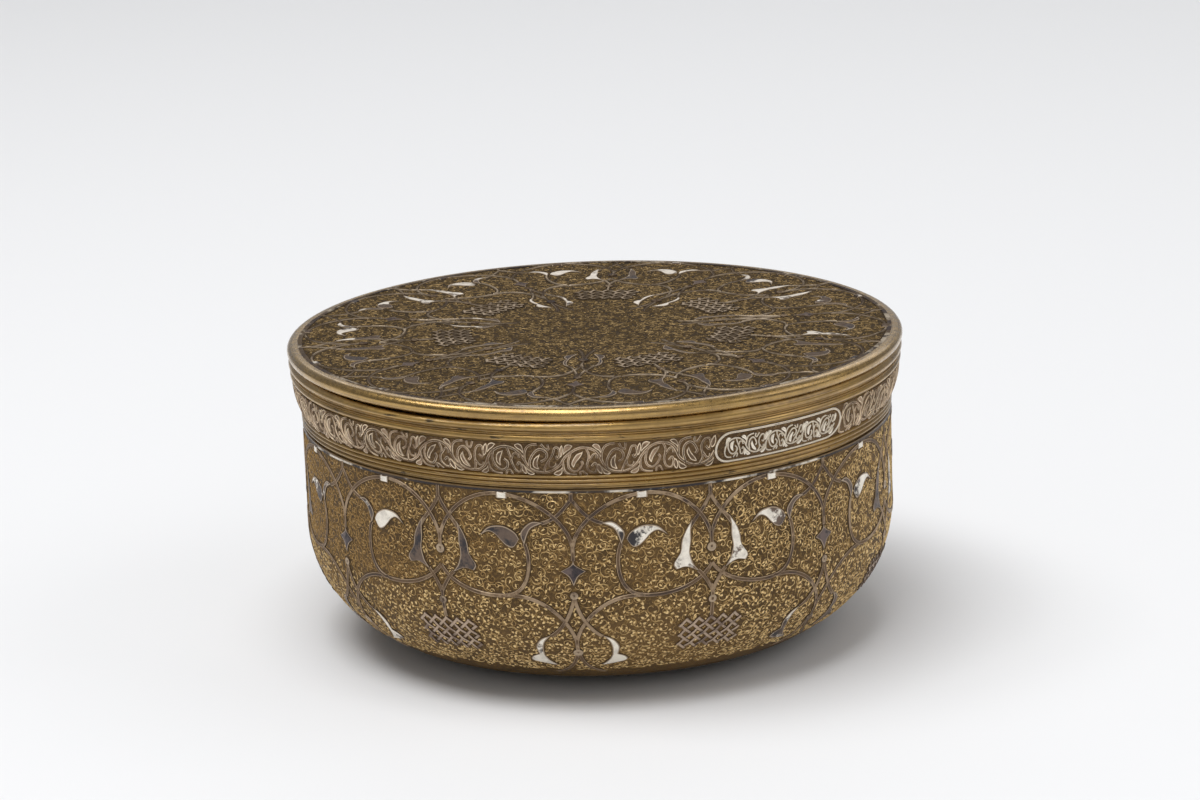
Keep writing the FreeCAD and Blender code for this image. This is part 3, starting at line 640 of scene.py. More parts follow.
def make_finishes(finish):
    """All materials, from the finish colours and three shared groups."""
    tarnish, hand, turning = tarnish_group(), hand_group(), turning_group()
    brass, dull = tuple(finish.brass), tuple(finish.brass_dull)
    gold, ground = tuple(finish.gold), tuple(finish.ground)
    silver, tarnished = tuple(finish.silver), tuple(finish.tarnish)
    rose = (0.42, 0.315, 0.215)
    bare = (0.15, 0.103, 0.075)
    umber = (0.07, 0.045, 0.028)
    stained = (0.028, 0.02, 0.012)
    # Painted shadow along the edges of the inlay, where it meets the ground
    edge_shadow = (0.04, 0.025, 0.014)
    plain, warm = (1.0, 1.0, 1.0), (0.5, 0.38, 0.25)
    nowhere = (90.0, 100.0)

    def turned_brass(name, bright, dull, stain_cover, roughness, foot=nowhere):
        """Brass with streaks along the turning, worn patches and dark stains.

        It browns between two marks of its profile; past the profile's end they have no effect.
        """
        made, nodes, shader = material(
            name, Metallic=1.0, Coat_Weight=0.5, Coat_Roughness=0.14, Coat_IOR=1.65)
        lines = nodes.place(turning, Fineness=3.2, Length=2.2)
        marks = nodes.place(hand, Scale=700.0, Dents=0.8)
        worn = nodes.place(tarnish, Scale=95.0, Cover=0.45, Softness=0.16)["Mask"]
        shade = nodes.mix(nodes.span(lines["Line"], 0.42, 0.74), bright, dull)
        shade = nodes.mix(nodes.times(worn, 0.5), shade, dull)
        shade = nodes.mix(nodes.span(nodes.point_value("down"), *foot, 0.0, 0.3), shade, dull)
        stain = nodes.span(lines["Stain"], 0.70 - stain_cover, 0.76 - stain_cover)
        nodes.feed(shader["Base Color"], nodes.mix(nodes.times(stain, 0.85), shade, stained))
        rough = nodes.plus(nodes.plus(roughness, marks["Rough"]), nodes.times(worn, 0.12))
        nodes.feed(shader["Roughness"], rough)
        height = nodes.plus(nodes.times(lines["Line"], 0.9), nodes.times(marks["Height"], 0.4))
        nodes.feed(shader["Normal"], nodes.bump(height, 0.00005))
        return made

    def compound(name, dark, brown, gilt, gloss):
        """Dark filling in which some brass shows: broad clouds, then a grain as fine as the tool's marks."""
        made, nodes, shader = material(name, Specular_IOR_Level=gloss)
        marks = nodes.place(hand, Scale=1500.0, Dents=0.6)
        cloud = nodes.place(tarnish, Scale=42.0, Cover=0.5, Softness=0.2)["Mask"]
        grain = nodes.span(nodes.noise(1500.0, 3.0, 0.6), 0.46, 0.66)
        shade = nodes.mix(cloud, dark, brown)
        nodes.feed(shader["Base Color"], nodes.mix(nodes.times(grain, 0.7), shade, gilt))
        nodes.feed(shader["Roughness"], nodes.plus(0.58, marks["Rough"]))
        nodes.feed(shader["Normal"], nodes.bump(marks["Height"], 0.00015))
        return made

    def relief(name, bright, dull, tint, clouds, gloss=0.5):
        """Brass lines and leaves of their own tone, which also holds painted shade, some of them dulled in
        clouds.
        """
        made, nodes, shader = material(name, Metallic=0.35, Specular_IOR_Level=gloss, Specular_Tint=tint)
        marks = nodes.place(hand, Scale=1300.0, Dents=0.5)
        cloud = nodes.place(tarnish, Scale=45.0, Cover=0.42, Softness=0.18)["Mask"]
        # The tone value holds each line's own tone and the painted shade on the wall's left
        tone = nodes.times(nodes.point_value("tone"), 0.7)
        share = nodes.plus(tone, nodes.times(cloud, clouds), clamp=True)
        nodes.feed(shader["Base Color"], nodes.mix(share, bright, dull))
        nodes.feed(shader["Roughness"], nodes.plus(0.4, marks["Rough"]))
        nodes.feed(shader["Normal"], nodes.bump(marks["Height"], 0.00005))
        return made

    def inlay(name, bright, dark, outline, cover, scale, edge_from=0.72, metallic=0.5, edge_lost=0.0,
              tint=plain, shadow_line_from=0.99, black=tarnished):
        """Silver with dark patches where it is lost or tarnished, a pale line along its edge and a painted
        shadow line at its rim.

        Cover is the share lost, or None where each point of the mesh has its own in the value worn.
        """
        made, nodes, shader = material(name, Metallic=metallic, Specular_Tint=tint)
        marks = nodes.place(hand, Scale=1100.0, Dents=0.7)
        share = nodes.point_value("worn") if cover is None else cover
        lost = nodes.place(tarnish, Scale=scale, Cover=share, Softness=0.035)["Mask"]
        grey = nodes.place(tarnish, Scale=scale * 2.6, Cover=0.4, Softness=0.16)["Mask"]
        clouded = nodes.place(tarnish, Scale=scale * 1.2, Cover=0.45, Softness=0.07)["Mask"]
        patch = nodes.mix(clouded, dark, black)
        shade = nodes.mix(nodes.times(grey, 0.4), bright, dark)
        shade = nodes.mix(lost, shade, patch)
        edge = nodes.span(nodes.point_value("across"), edge_from, edge_from + 0.1)
        line = nodes.mix(nodes.times(grey, edge_lost), outline, dark)
        shade = nodes.mix(edge, shade, line)
        # Painted shadow: a dark line along the very edge of the inlay, where it meets the ground
        rim = nodes.span(nodes.point_value("across"), shadow_line_from, shadow_line_from + 0.08)
        nodes.feed(shader["Base Color"], nodes.mix(rim, shade, edge_shadow))
        nodes.feed(shader["Roughness"], nodes.plus(0.36, nodes.plus(marks["Rough"], nodes.times(lost, 0.12))))
        nodes.feed(shader["Normal"], nodes.bump(marks["Height"], 0.00008))
        return made

    FINISHES.update(
        rim=turned_brass("brass_lid_rim", brass, dull, 0.03, 0.23),
        collar=turned_brass("brass_collar", brass, dull, 0.09, 0.34, (18.5, 21.0)),
        shell=turned_brass("brass_shell", dull, (0.10, 0.065, 0.03), 0.02, 0.42),
        ground=compound("dark_ground", ground, (0.136, 0.077, 0.027), (0.25, 0.15, 0.05), 0.18),
        # The lid's ground is a darker copy of the bowl's: painted shade on the flat top
        lid_ground=compound(
            "lid_ground", (0.022, 0.0135, 0.0055), (0.038, 0.0235, 0.01), (0.082, 0.052, 0.0225), 0.04),
        frieze_ground=compound(
            "frieze_ground", (0.07, 0.04, 0.017), (0.14, 0.083, 0.039), (0.24, 0.15, 0.068), 0.12),
        scroll=relief("gold_scroll", gold, (0.34, 0.206, 0.07), (0.95, 0.85, 0.72), 0.35),
        # The lid's scrolls are darker than the bowl's gold: painted shade on the flat top
        lid_scroll=relief("lid_scroll", (0.42, 0.288, 0.13), (0.056, 0.036, 0.0155), warm, 0.15, 0.15),
        leaf=inlay(
            "silver_leaf", silver, bare, rose, None, 150.0, edge_from=0.4, metallic=0.3, shadow_line_from=0.84),
        lid_leaf=inlay(
            "lid_silver_leaf", (0.78, 0.72, 0.64), umber, (0.36, 0.28, 0.2), None, 120.0, edge_from=0.6,
            metallic=0.3, tint=warm),
        strap=inlay(
            "tarnished_strap", (0.38, 0.273, 0.173), (0.15, 0.096, 0.056), (0.47, 0.343, 0.222), 0.61, 75.0,
            edge_from=0.48, metallic=0.3, edge_lost=0.9, shadow_line_from=0.76, tint=(0.7, 0.58, 0.46),
            black=(0.072, 0.05, 0.04)),
        lid_strap=inlay(
            "lid_strap", (0.42, 0.34, 0.25), (0.06, 0.041, 0.024), (0.34, 0.265, 0.19), 0.55, 45.0,
            edge_from=0.6, edge_lost=0.9, tint=warm, black=(0.045, 0.03, 0.02)),
        # The knots' dark outline colour is painted shadow along the edges of the crossing bands
        knot=inlay(
            "knotwork", (0.5, 0.375, 0.27), (0.24, 0.17, 0.125), (0.12, 0.08, 0.055), 0.4, 110.0,
            edge_from=0.78, black=(0.12, 0.086, 0.07)),
        lid_knot=inlay(
            "lid_knotwork", (0.36, 0.285, 0.21), (0.19, 0.143, 0.1), (0.13, 0.095, 0.062), 0.45, 110.0,
            edge_from=0.75, tint=warm, black=(0.13, 0.097, 0.07)),
        bead=inlay("silver_bead", (0.45, 0.34, 0.23), (0.2, 0.14, 0.09), umber, 0.4, 90.0),
        lid_bead=inlay(
            "lid_silver_bead", (0.2, 0.145, 0.095), (0.08, 0.053, 0.034), umber, 0.5, 90.0, tint=warm),
        lozenge=inlay(
            "blackened_lozenge", (0.14, 0.1, 0.088), (0.075, 0.056, 0.057), rose, 0.5, 140.0, edge_from=0.45,
            shadow_line_from=0.84),
        lid_lozenge=inlay(
            "lid_lozenge", (0.1, 0.075, 0.07), (0.05, 0.037, 0.037), (0.24, 0.18, 0.13), 0.5, 140.0,
            tint=warm),
        wire=inlay("border_wire", (0.78, 0.7, 0.58), umber, umber, 0.58, 55.0),
        lid_wire=inlay(
            "lid_border_wire", (0.46, 0.4, 0.32), (0.09, 0.064, 0.04), umber, 0.62, 110.0, tint=warm),
        frieze_silver=inlay(
            "frieze_silver", (0.36, 0.245, 0.158), (0.16, 0.098, 0.056), (0.98, 0.81, 0.59), 0.5, 90.0,
            edge_from=0.5, metallic=0.3, edge_lost=1.0, black=(0.1, 0.066, 0.042), tint=(0.8, 0.66, 0.5)),
        panel_silver=inlay(
            "panel_silver", (0.6, 0.5, 0.37), (0.24, 0.165, 0.105), (0.97, 0.88, 0.73), 0.3, 110.0,
            edge_from=0.3, metallic=0.2, edge_lost=0.25),
    )


def own_finish(body, name):
    """The lid's own, darker finish where it has one, and the bowl's otherwise; on the lid's ground and
    scrolls the darkness is painted shade of the flat top.
    """
    return FINISHES.get(f"lid_{name}", FINISHES[name]) if body == "lid" else FINISHES[name]


class BOX_OT_stage(bpy.types.Operator):
    """Pale floor, soft lights and the camera"""

    bl_idname = "box.stage"
    bl_label = "Stage, light and camera"

    def execute(self, context):
        settings = context.scene.box_stage
        context.scene.view_settings.view_transform = "Standard"
        floor = stage_floor()
        stage_world(settings.world_light, settings.room_gloss)
        for name, (place, size) in LIGHTS.items():
            soft_light(name, place, size, getattr(settings, f"{name}_power"))
        stage_camera(settings)
        return {"FINISHED"}


def stage_floor():
    """A floor that rises into a wall far behind, as one profile drawn out sideways; in metres."""
    profile = np.vstack([[(-4.0, 0.0)], arc_points((3.0, 1.0), 1.0, 90, 0, 16), [(4.0, 4.0)]])
    points = np.stack([np.column_stack([np.full(len(profile), side), profile]) for side in (-5.0, 5.0)])
    mesh = bpy.data.meshes.new("floor")
    mesh.from_pydata(points.reshape(-1, 3), [], quads(1, 2, len(profile)))
    mesh.shade_smooth()
    made, _, _ = material("pale_floor", Base_Color=(0.8, 0.805, 0.818), Roughness=0.8)
    mesh.materials.append(made)
    floor = bpy.data.objects.new("floor", mesh)
    bpy.context.scene.collection.objects.link(floor)
    return floor


def stage_world(strength, gloss):
    """An even dim light; metal sees the pale room behind it."""
    world = bpy.data.worlds.new("soft_room")
    world.use_nodes = True
    world.node_tree.nodes.clear()
    nodes = Nodes(world.node_tree)
    glossy = nodes.add("ShaderNodeLightPath").outputs["Is Glossy Ray"]
    level = nodes.span(glossy, 0.0, 1.0, strength, gloss)
    light = nodes.add("ShaderNodeBackground", {"Color": (1.0, 1.0, 1.0), "Strength": level})
    nodes.add("ShaderNodeOutputWorld", {"Surface": light.outputs[0]})
    bpy.context.scene.world = world


def soft_light(name, place, size, watts):
    """A rectangular lamp that looks at the box."""
    lamp = bpy.data.lights.new(name, "AREA")
    lamp.shape, lamp.energy = "RECTANGLE", watts
    lamp.size, lamp.size_y = size
    thing = bpy.data.objects.new(name, lamp)
    thing.location = place
    thing.rotation_euler = (LIGHT_AIM - Vector(place)).to_track_quat("-Z", "Y").to_euler()
    bpy.context.scene.collection.objects.link(thing)


def stage_camera(settings):
    """A camera that is rolled a little and turned until the lid's middle falls at its place."""
    focal = settings.lens / SENSOR * PICTURE_WIDTH
    roll = settings.roll
    right_part = LID_ACROSS * math.cos(roll) + LID_UP * math.sin(roll)
    up_part = LID_UP * math.cos(roll) - LID_ACROSS * math.sin(roll)
    pitch = settings.elevation + math.atan2(up_part, focal)
    yaw = math.atan2(right_part, focal)
    ahead = Vector((-math.sin(yaw) * math.cos(pitch), math.cos(yaw) * math.cos(pitch), -math.sin(pitch)))
    right = ahead.cross(Vector((0, 0, 1))).normalized()
    above = right.cross(ahead)
    tilted_right = right * math.cos(roll) - above * math.sin(roll)
    tilted_above = above * math.cos(roll) + right * math.sin(roll)
    lens = bpy.data.cameras.new("camera")
    lens.lens, lens.sensor_width, lens.sensor_fit = settings.lens, SENSOR, "HORIZONTAL"
    camera = bpy.data.objects.new("camera", lens)
    turn = Matrix((tilted_right, tilted_above, -ahead)).transposed().to_4x4()
    place = Vector((0, -math.cos(settings.elevation), math.sin(settings.elevation))) * settings.distance
    camera.matrix_world = Matrix.Translation(place + Vector((0, 0, AIM_Z * MM))) @ turn
    bpy.context.scene.collection.objects.link(camera)
    bpy.context.scene.camera = camera


class BOX_OT_turned_brass(bpy.types.Operator):
    """Bowl, collar, lid and locating ring, each a profile turned about the axis"""

    bl_idname = "box.turned_brass"
    bl_label = "Turned brass"

    def execute(self, context):
        collar, rim, shell = FINISHES["collar"], FINISHES["rim"], FINISHES["shell"]
        lathe("bowl_brass", bowl_profile(), "bowl", shell, ["bowl_shell"])
        lathe("collar_brass", collar_profile(), "bowl", collar, ["collar_ring"], worn_seat)
        lathe("lid_brass", lid_profile(), "lid", rim, ["lid_plate"], hand_turned)
        lathe("locating_ring", ring_profile(), "lid", shell, ["lid_locating_ring"])
        return {"FINISHED"}


def hand_turned(bearing, r, z):
    """Slow unevenness of hand work: a few hundredths of a millimetre, by low waves round the axis."""
    wave = 0.035 * np.sin(3 * bearing + 0.6) + 0.025 * np.sin(5 * bearing + 2.1)
    wave = wave + 0.015 * np.sin(11 * bearing)
    return r + wave, z


def worn_seat(bearing, r, z):
    """The collar's outer seat is worn down at the front left, so a dark gap shows under the lid there."""
    r, z = hand_turned(bearing, r, z)
    away = (bearing - SEAT_WORN_AT + np.pi) % (2 * np.pi) - np.pi
    top = np.clip((z - SEAT_Z + SEAT_WORN_FADE) / SEAT_WORN_FADE, 0, 1)
    outer = np.clip((r - MOUTH_RADIUS) / WALL, 0, 1)
    return r, z - SEAT_WORN * np.exp(-(away / SEAT_WORN_WIDTH) ** 2) * (top * outer)


def bowl_profile():
    """Spigot, lip, bed of the inlay, plain base and the inside, as one closed profile."""
    end_tilt = math.degrees((FIELD_LENGTH - STRAIGHT) / BELLY_RADIUS)
    crown_tilt = 90 - math.degrees(CROWN_ANGLE)
    belly, crown = (BELLY_R, BELLY_Z), (BASE_FLAT_RADIUS, CROWN_RADIUS)
    return np.vstack([
        [(MOUTH_RADIUS, WALL_TOP + LAP_HEIGHT), (LAP_RADIUS, WALL_TOP + LAP_HEIGHT), (LAP_RADIUS, WALL_TOP)],
        [(BOWL_RADIUS - 0.15, WALL_TOP), (BOWL_RADIUS, WALL_TOP - 0.12)],
        [(BOWL_RADIUS, WALL_TOP - WIRE_TOP), (BOWL_RADIUS - BED, WALL_TOP - WIRE_TOP)],
        arc_points(belly, BELLY_RADIUS - BED, 0, end_tilt, 18),
        arc_points(belly, BELLY_RADIUS, end_tilt, crown_tilt, 10),
        arc_points(crown, CROWN_RADIUS, crown_tilt, 90, 8)[1:],
        [(AXIS, 0.0), (AXIS, WALL)],
        arc_points(crown, CROWN_RADIUS - WALL, 90, crown_tilt, 8),
        arc_points(belly, BELLY_RADIUS - WALL, crown_tilt, 0, 24)[1:],
    ])


def collar_profile():
    """Two swelling bands with a fillet between, the frieze's bed, three beads and the lap inside."""
    first = math.degrees(FRIEZE_LEAN - FRIEZE_HALF_TURN)
    last = math.degrees(FRIEZE_LEAN + FRIEZE_HALF_TURN)
    middle = (FRIEZE_TOP_RADIUS - FRIEZE_ROUND * math.cos(math.radians(first)),
              FRIEZE_TOP + FRIEZE_ROUND * math.sin(math.radians(first)))
    bead = (FRIEZE_FOOT - WALL_TOP - 0.9) / 3

    def band(inwards, down):
        return RIM_RADIUS - inwards, SEAT_Z - down

    def foot(inwards, beads, down):
        return FRIEZE_FOOT_RADIUS - inwards, FRIEZE_FOOT - beads * bead - down

    def above_frieze(inwards, up):
        return FRIEZE_TOP_RADIUS - inwards, FRIEZE_TOP + up

    def over_wall(inwards, up):
        return FRIEZE_FOOT_RADIUS - inwards, WALL_TOP + up

    return np.vstack([
        [(MOUTH_RADIUS, SEAT_Z), band(0.9, 0.0), band(0.45, 0.06), band(0.15, 0.25)],
        swell(band(0.05, 0.4), band(0.1, 2.5), 0.62),
        [band(0.35, 2.6), band(0.35, 2.9)],
        swell(band(0.05, 2.95), band(0.05, 3.3), 0.12, 5),
        [band(0.25, 3.4)],
        swell(band(0.1, 3.45), above_frieze(0.15, 0.3), 0.5),
        [above_frieze(0.4, 0.2), above_frieze(0.4, 0.0)],
        arc_points(middle, FRIEZE_ROUND - BED, first, last, 14),
        swell(foot(0.0, 0, 0.0), foot(0.0, 1, 0.0), 0.36, 10),
        [foot(0.12, 1, 0.1)],
        swell(foot(0.0, 1, 0.2), foot(0.0, 2, 0.2), 0.32, 10),
        [foot(0.12, 2, 0.3)],
        swell(foot(0.0, 2, 0.4), over_wall(0.1, 0.5), 0.3, 10),
        [over_wall(0.45, 0.42), over_wall(0.45, 0.06)],
        [(LAP_RADIUS, WALL_TOP), (LAP_RADIUS, WALL_TOP + LAP_HEIGHT), (MOUTH_RADIUS, WALL_TOP + LAP_HEIGHT)],
    ])


def lid_profile():
    """The bed of the inlay, the round nose of the rim, the seat and the underside."""
    nose = (SEAT_Z + LID_TOP) / 2
    half = (LID_TOP - SEAT_Z) / 2
    turn = np.linspace(0, math.pi / 2, 14)
    over_r = LID_TOP_RADIUS + (LID_RADIUS - LID_TOP_RADIUS) * np.sin(turn)
    under_r = LID_SEAT_RADIUS + (LID_RADIUS - LID_SEAT_RADIUS) * np.cos(turn)
    bed_r = LID_FIELD_RADIUS - WIRE_TOP
    return np.vstack([
        [(AXIS, LID_TOP - BED), (bed_r, LID_TOP - BED), (bed_r, LID_TOP)],
        np.stack([over_r, nose + half * np.cos(turn)], -1),
        np.stack([under_r, nose - half * np.sin(turn)], -1)[1:],
        [(RING_RADIUS, SEAT_Z), (RING_RADIUS, LID_TOP - LID_PLATE), (AXIS, LID_TOP - LID_PLATE)],
    ])


def ring_profile():
    """A strip with eased lower edges, the outer one more, so that it finds the mouth."""
    inner, foot, top = RING_RADIUS - RING_WALL, SEAT_Z - RING_DEPTH, LID_TOP - LID_PLATE
    return [(inner, top), (RING_RADIUS, top), (RING_RADIUS, foot + 0.6), (RING_RADIUS - 0.5, foot),
            (inner + 0.3, foot), (inner, foot + 0.3)]


class BOX_OT_grounds(bpy.types.Operator):
    """Dark compound of the bowl, the lid and the frieze, and the silver wires at their borders"""

    bl_idname = "box.grounds"
    bl_label = "Grounds and border wires"

    def execute(self, context):
        straight, belly = np.linspace(FIELD_TOP, STRAIGHT, 12), np.linspace(STRAIGHT, FIELD_LENGTH, 30)
        profile = skin_profile(wall, np.concatenate([straight, belly[1:]]))
        lathe("bowl_dark_ground", profile, "bowl", FINISHES["ground"], ["bowl_ground"])
        profile = skin_profile(lid_top, np.linspace(FIELD_TOP, LID_FIELD_RADIUS - 0.02, 24))
        lathe("lid_dark_ground", profile, "lid", FINISHES["lid_ground"], ["lid_ground"])
        profile = skin_profile(frieze, np.linspace(0, FRIEZE_LENGTH, 14))
        lathe("collar_dark_ground", profile, "bowl", FINISHES["frieze_ground"], ["collar_ground"])
        top, foot, bed = WALL_TOP - WIRE_TOP, WALL_TOP - FIELD_TOP, BOWL_RADIUS - BED
        wire = [(bed, top), (BOWL_RADIUS + 0.02, top), (BOWL_RADIUS + 0.06, (top + foot) / 2),
                (BOWL_RADIUS + 0.02, foot), (bed, foot)]
        lathe("bowl_border", wire, "bowl", FINISHES["wire"], ["bowl_border_wire"])
        rim, inner = [LID_FIELD_RADIUS - inwards for inwards in LID_WIRE]
        wire = [(inner, LID_TOP - BED), (inner, LID_TOP + 0.02), ((rim + inner) / 2, LID_TOP + 0.05),
                (rim, LID_TOP + 0.02), (rim, LID_TOP - BED)]
        lathe("lid_border", wire, "lid", FINISHES["lid_wire"], ["lid_border_wire"])
        return {"FINISHED"}


def skin_profile(surface, s):
    """A closed profile between the ground's face and the floor of its bed, at the front."""
    points, normals = surface(0 * s, s)
    flat = np.hypot(points[:, 0], points[:, 1])
    lean = np.sqrt(np.clip(1 - normals[:, 2] ** 2, 0, 1))
    face = np.stack([flat - GROUND * lean, points[:, 2] - GROUND * normals[:, 2]], -1)
    floor = np.stack([flat - BED * lean, points[:, 2] - BED * normals[:, 2]], -1)
    closed = np.vstack([face, floor[::-1]])
    return closed[::-1] if surface is lid_top else closed


class BOX_OT_straps(bpy.types.Operator):
    """Straps of blackened silver with pale edges, on the bowl and the lid"""

    bl_idname = "box.straps"
    bl_label = "Straps"

    def execute(self, context):
        width = context.scene.box_ornament.strap_width / MM
        for surface, body in BODIES:
            points, across = strap_points(surface, width * (LID_STRAP_SHARE if body == "lid" else 1.0))
            silver_grids(f"{body}_strapwork", points, body, own_finish(body, "strap"), f"{body}_straps",
                         across=across)
        return {"FINISHED"}


def strap_points(surface, width):
    """A strap's profile is a shallow trough between two raised edges; its ends sink into the ground."""
    steps = 30
    courses, lifts = [], []
    for straps, spread in ((SIDE_STRAPS, all_round), (AXIS_STRAPS, each_repeat)):
        for poles, level in straps:
            courses.append(spread(bezier(poles, steps)))
            lifts += [level * LEVEL_RISE] * len(courses[-1])
    courses, lifts = np.concatenate(courses), np.array(lifts)[:, None, None]
    share = np.array([-1.0, -0.8, -0.64, -0.44, 0.0, 0.44, 0.64, 0.8, 1.0])
    height = np.array([SUNK, -0.02, 0.08, 0.0, 0.02, 0.0, 0.08, -0.02, SUNK])
    heights = np.broadcast_to(height + lifts, (len(courses), steps, len(share))).copy()
    heights[:, [0, -1]] = SUNK
    points = ribbons(surface, courses, share * width / 2, heights)
    return points, nearness(share, points)


class BOX_OT_leaves(bpy.types.Operator):
    """Silver leaves, lozenges and tabs, on the bowl and the lid"""

    bl_idname = "box.leaves"
    bl_label = "Leaves, lozenges and tabs"

    def execute(self, context):
        rng = np.random.default_rng(context.scene.box_ornament.seed)
        for surface, body in BODIES:
            for kind, (left, right) in LEAVES.items():
                pairs = mirrored_sides(side_of(left, 28), side_of(right, 28))
                place_leaf(f"{body}_{kind}_silver", surface, pairs, body, "leaf", f"{body}_{kind}",
                           leaf_wear(kind, body, rng))
            left, right = [each_repeat(side_of(side, 20)) for side in LOZENGE]
            place_leaf(f"{body}_lozenges_dark", surface, (right, left), body, "lozenge", f"{body}_lozenges")
            x, s, half, height = TAB
            left, right = [through([(edge, s), (edge, s + height)], 8) for edge in (x - half, x + half)]
            place_leaf(f"{body}_tabs_silver", surface, mirrored_sides(right, left), body, "leaf",
                       f"{body}_tabs", TAB_WORN[body])
        return {"FINISHED"}


def leaf_wear(kind, body, rng):
    """Share of silver lost from each leaf, in the order of mirrored_sides.

    Leaves in view are as listed, the others by chance. On the lid the silver is kept best at the back.
    """
    lost = rng.uniform(0.45, 1.0, 2 * REPEATS)
    if body == "lid":
        bearing = np.tile(2 * math.pi / REPEATS * np.arange(REPEATS), 2)
        return 0.95 - 0.85 * np.clip(0.4 - np.cos(bearing), 0, 1) * lost
    for repeat, (left, right) in zip((REPEATS - 1, 0, 1), WORN[kind]):
        lost[repeat] = right
        lost[REPEATS + repeat] = left
    return lost


def mirrored_sides(left, right):
    """Both sides of a leaf for every repeat; a mirrored leaf swaps them, so that its face still looks out."""
    first = np.concatenate([each_repeat(left), each_repeat(right * MIRROR)])
    second = np.concatenate([each_repeat(right), each_repeat(left * MIRROR)])
    return first, second


def leaf_points(surface, sides, rim, middle, band):
    """A leaf is ruled from one side to the other: height rim near its sides, middle between; its edge drops.

    The second array tells how near a point is to the side, from 1 at the side to 0 at a band's width inside.
    """
    share = np.array([0.0, 0.012, 0.1, 0.28, 0.5, 0.72, 0.9, 0.988, 1.0])
    first, second = [side[:, :, None] for side in sides]
    courses = first * (1 - share)[None, None, :, None] + second * share[None, None, :, None]
    points, normals = surface(courses[..., 0], courses[..., 1])
    span = np.linalg.norm(points[:, :, -1] - points[:, :, 0], axis=-1)
    inside = np.clip(np.minimum(share, 1 - share) * span[..., None] / band, 0, 1)
    height = np.where((share == 0) | (share == 1), SUNK, rim + (middle - rim) * inside)
    height[:, [0, -1]] = SUNK
    return points + normals * height[..., None], 1 - inside


def place_leaf(name, surface, sides, body, finish, node, lost=0.5):
    """Leaves of one kind as a piece, a little pillowed; silver is lost first from a leaf's lower part."""
    points, across = leaf_points(surface, sides, 0.04, 0.12, 0.6)
    depth = sides[0][..., 1]
    lower = (depth - depth.mean(1, keepdims=True)) / np.ptp(depth, axis=1, keepdims=True)
    worn = np.broadcast_to(lost, len(depth))[:, None] + 0.25 * lower
    worn = np.broadcast_to(worn[..., None], points.shape[:3])
    silver_grids(name, points, body, own_finish(body, finish), node, weld=True, across=across.ravel(),
                 worn=worn.ravel())


class BOX_OT_beads(bpy.types.Operator):
    """Beads and endless knots, on the bowl and the lid"""

    bl_idname = "box.beads"
    bl_label = "Beads and knots"

    def execute(self, context):
        for surface, body in BODIES:
            points, across = bead_points(surface)
            silver_grids(f"{body}_beads_silver", points, body, own_finish(body, "bead"), f"{body}_beads",
                         closed=True, weld=True, across=across)
            points, across = knot_points(surface)
            silver_grids(f"{body}_knotwork", points, body, own_finish(body, "knot"), f"{body}_knots",
                         across=across)
        return {"FINISHED"}


def tangent_frame(surface, x, s):
    """Point, normal, right and down of a surface at unrolled places, as (count, 3) arrays."""
    point, normal = surface(x, s)
    ahead, _ = surface(x + 0.01, s)
    right = (ahead - point) / np.linalg.norm(ahead - point, axis=-1, keepdims=True)
    return point, normal, right, np.cross(right, normal)


def bead_points(surface):
    """A bead is a ring of revolution about the normal: a hollow heart, a raised rim and a dropping skirt."""
    places = np.array([(x + 2 * HALF * k, s, r) for x, s, r in BEADS for k in range(REPEATS)])
    point, normal, right, down = tangent_frame(surface, places[:, 0], places[:, 1])
    share = np.array([1.0, 0.97, 0.82, 0.62, 0.42, 0.2, 0.0])
    height = np.array([SUNK, 0.08, 0.2, 0.22, 0.12, 0.06, 0.05])
    turn = np.linspace(0, 2 * np.pi, 20, endpoint=False)[None, :, None]
    spread = right[:, None] * np.cos(turn) + down[:, None] * np.sin(turn)
    radius = places[:, 2][:, None, None, None] * share[None, None, :, None]
    rise = normal[:, None, None] * height[None, None, :, None]
    points = point[:, None, None] + spread[:, :, None] * radius + rise
    across = np.broadcast_to(np.where(share > 0.9, 0.9, np.where(share < 0.3, 0.8, 0.0)), points.shape[:3])
    return points[:, ::-1], across.ravel()


def knot_lines():
    """Bands of a knot about its middle: they slant from side to side of an oblong, where they turn."""
    wide, high = KNOT_COLUMNS * KNOT_CELL, KNOT_ROWS * KNOT_CELL
    past = 0.3
    lines = []
    for lean in (1, -1):
        for row in range(KNOT_COLUMNS + KNOT_ROWS):
            offset = (KNOT_COLUMNS + KNOT_ROWS - 1 - 2 * row) * KNOT_CELL
            start, end = max(-wide, -lean * offset - high), min(wide, -lean * offset + high)
            u = np.linspace(start - past, end + past, 25)
            lines.append(np.stack([u, u * lean + offset, lean * np.cos(np.pi * u / KNOT_CELL)], -1))
    return np.array(lines)


def knot_points(surface):
    """The bands of all knots; a cosine along each lifts it over and under its crossings in turn."""
    lines = knot_lines()
    steps = lines.shape[1]
    middle = KNOT[0] + REPEAT_STARTS[:, 0]
    reach = reach_of_x(surface, np.array([KNOT[1]]))[0]
    courses = np.stack([middle[:, None, None] + lines[None, ..., 0] / reach,
                        KNOT[1] + np.broadcast_to(lines[None, ..., 1], (REPEATS, *lines.shape[:2]))], -1)
    courses = courses.reshape(-1, steps, 2)
    lift = np.tile(lines[..., 2], (REPEATS, 1))[..., None] * KNOT_LIFT
    share = np.array([-1.0, -0.92, -0.6, 0.0, 0.6, 0.92, 1.0])
    heights = np.array([SUNK, 0.08, 0.1, 0.04, 0.1, 0.08, SUNK]) + lift
    heights[..., [0, -1]] = SUNK
    points = ribbons(surface, courses, share * KNOT_HALF_BAND, heights)
    return points, nearness(share, points)


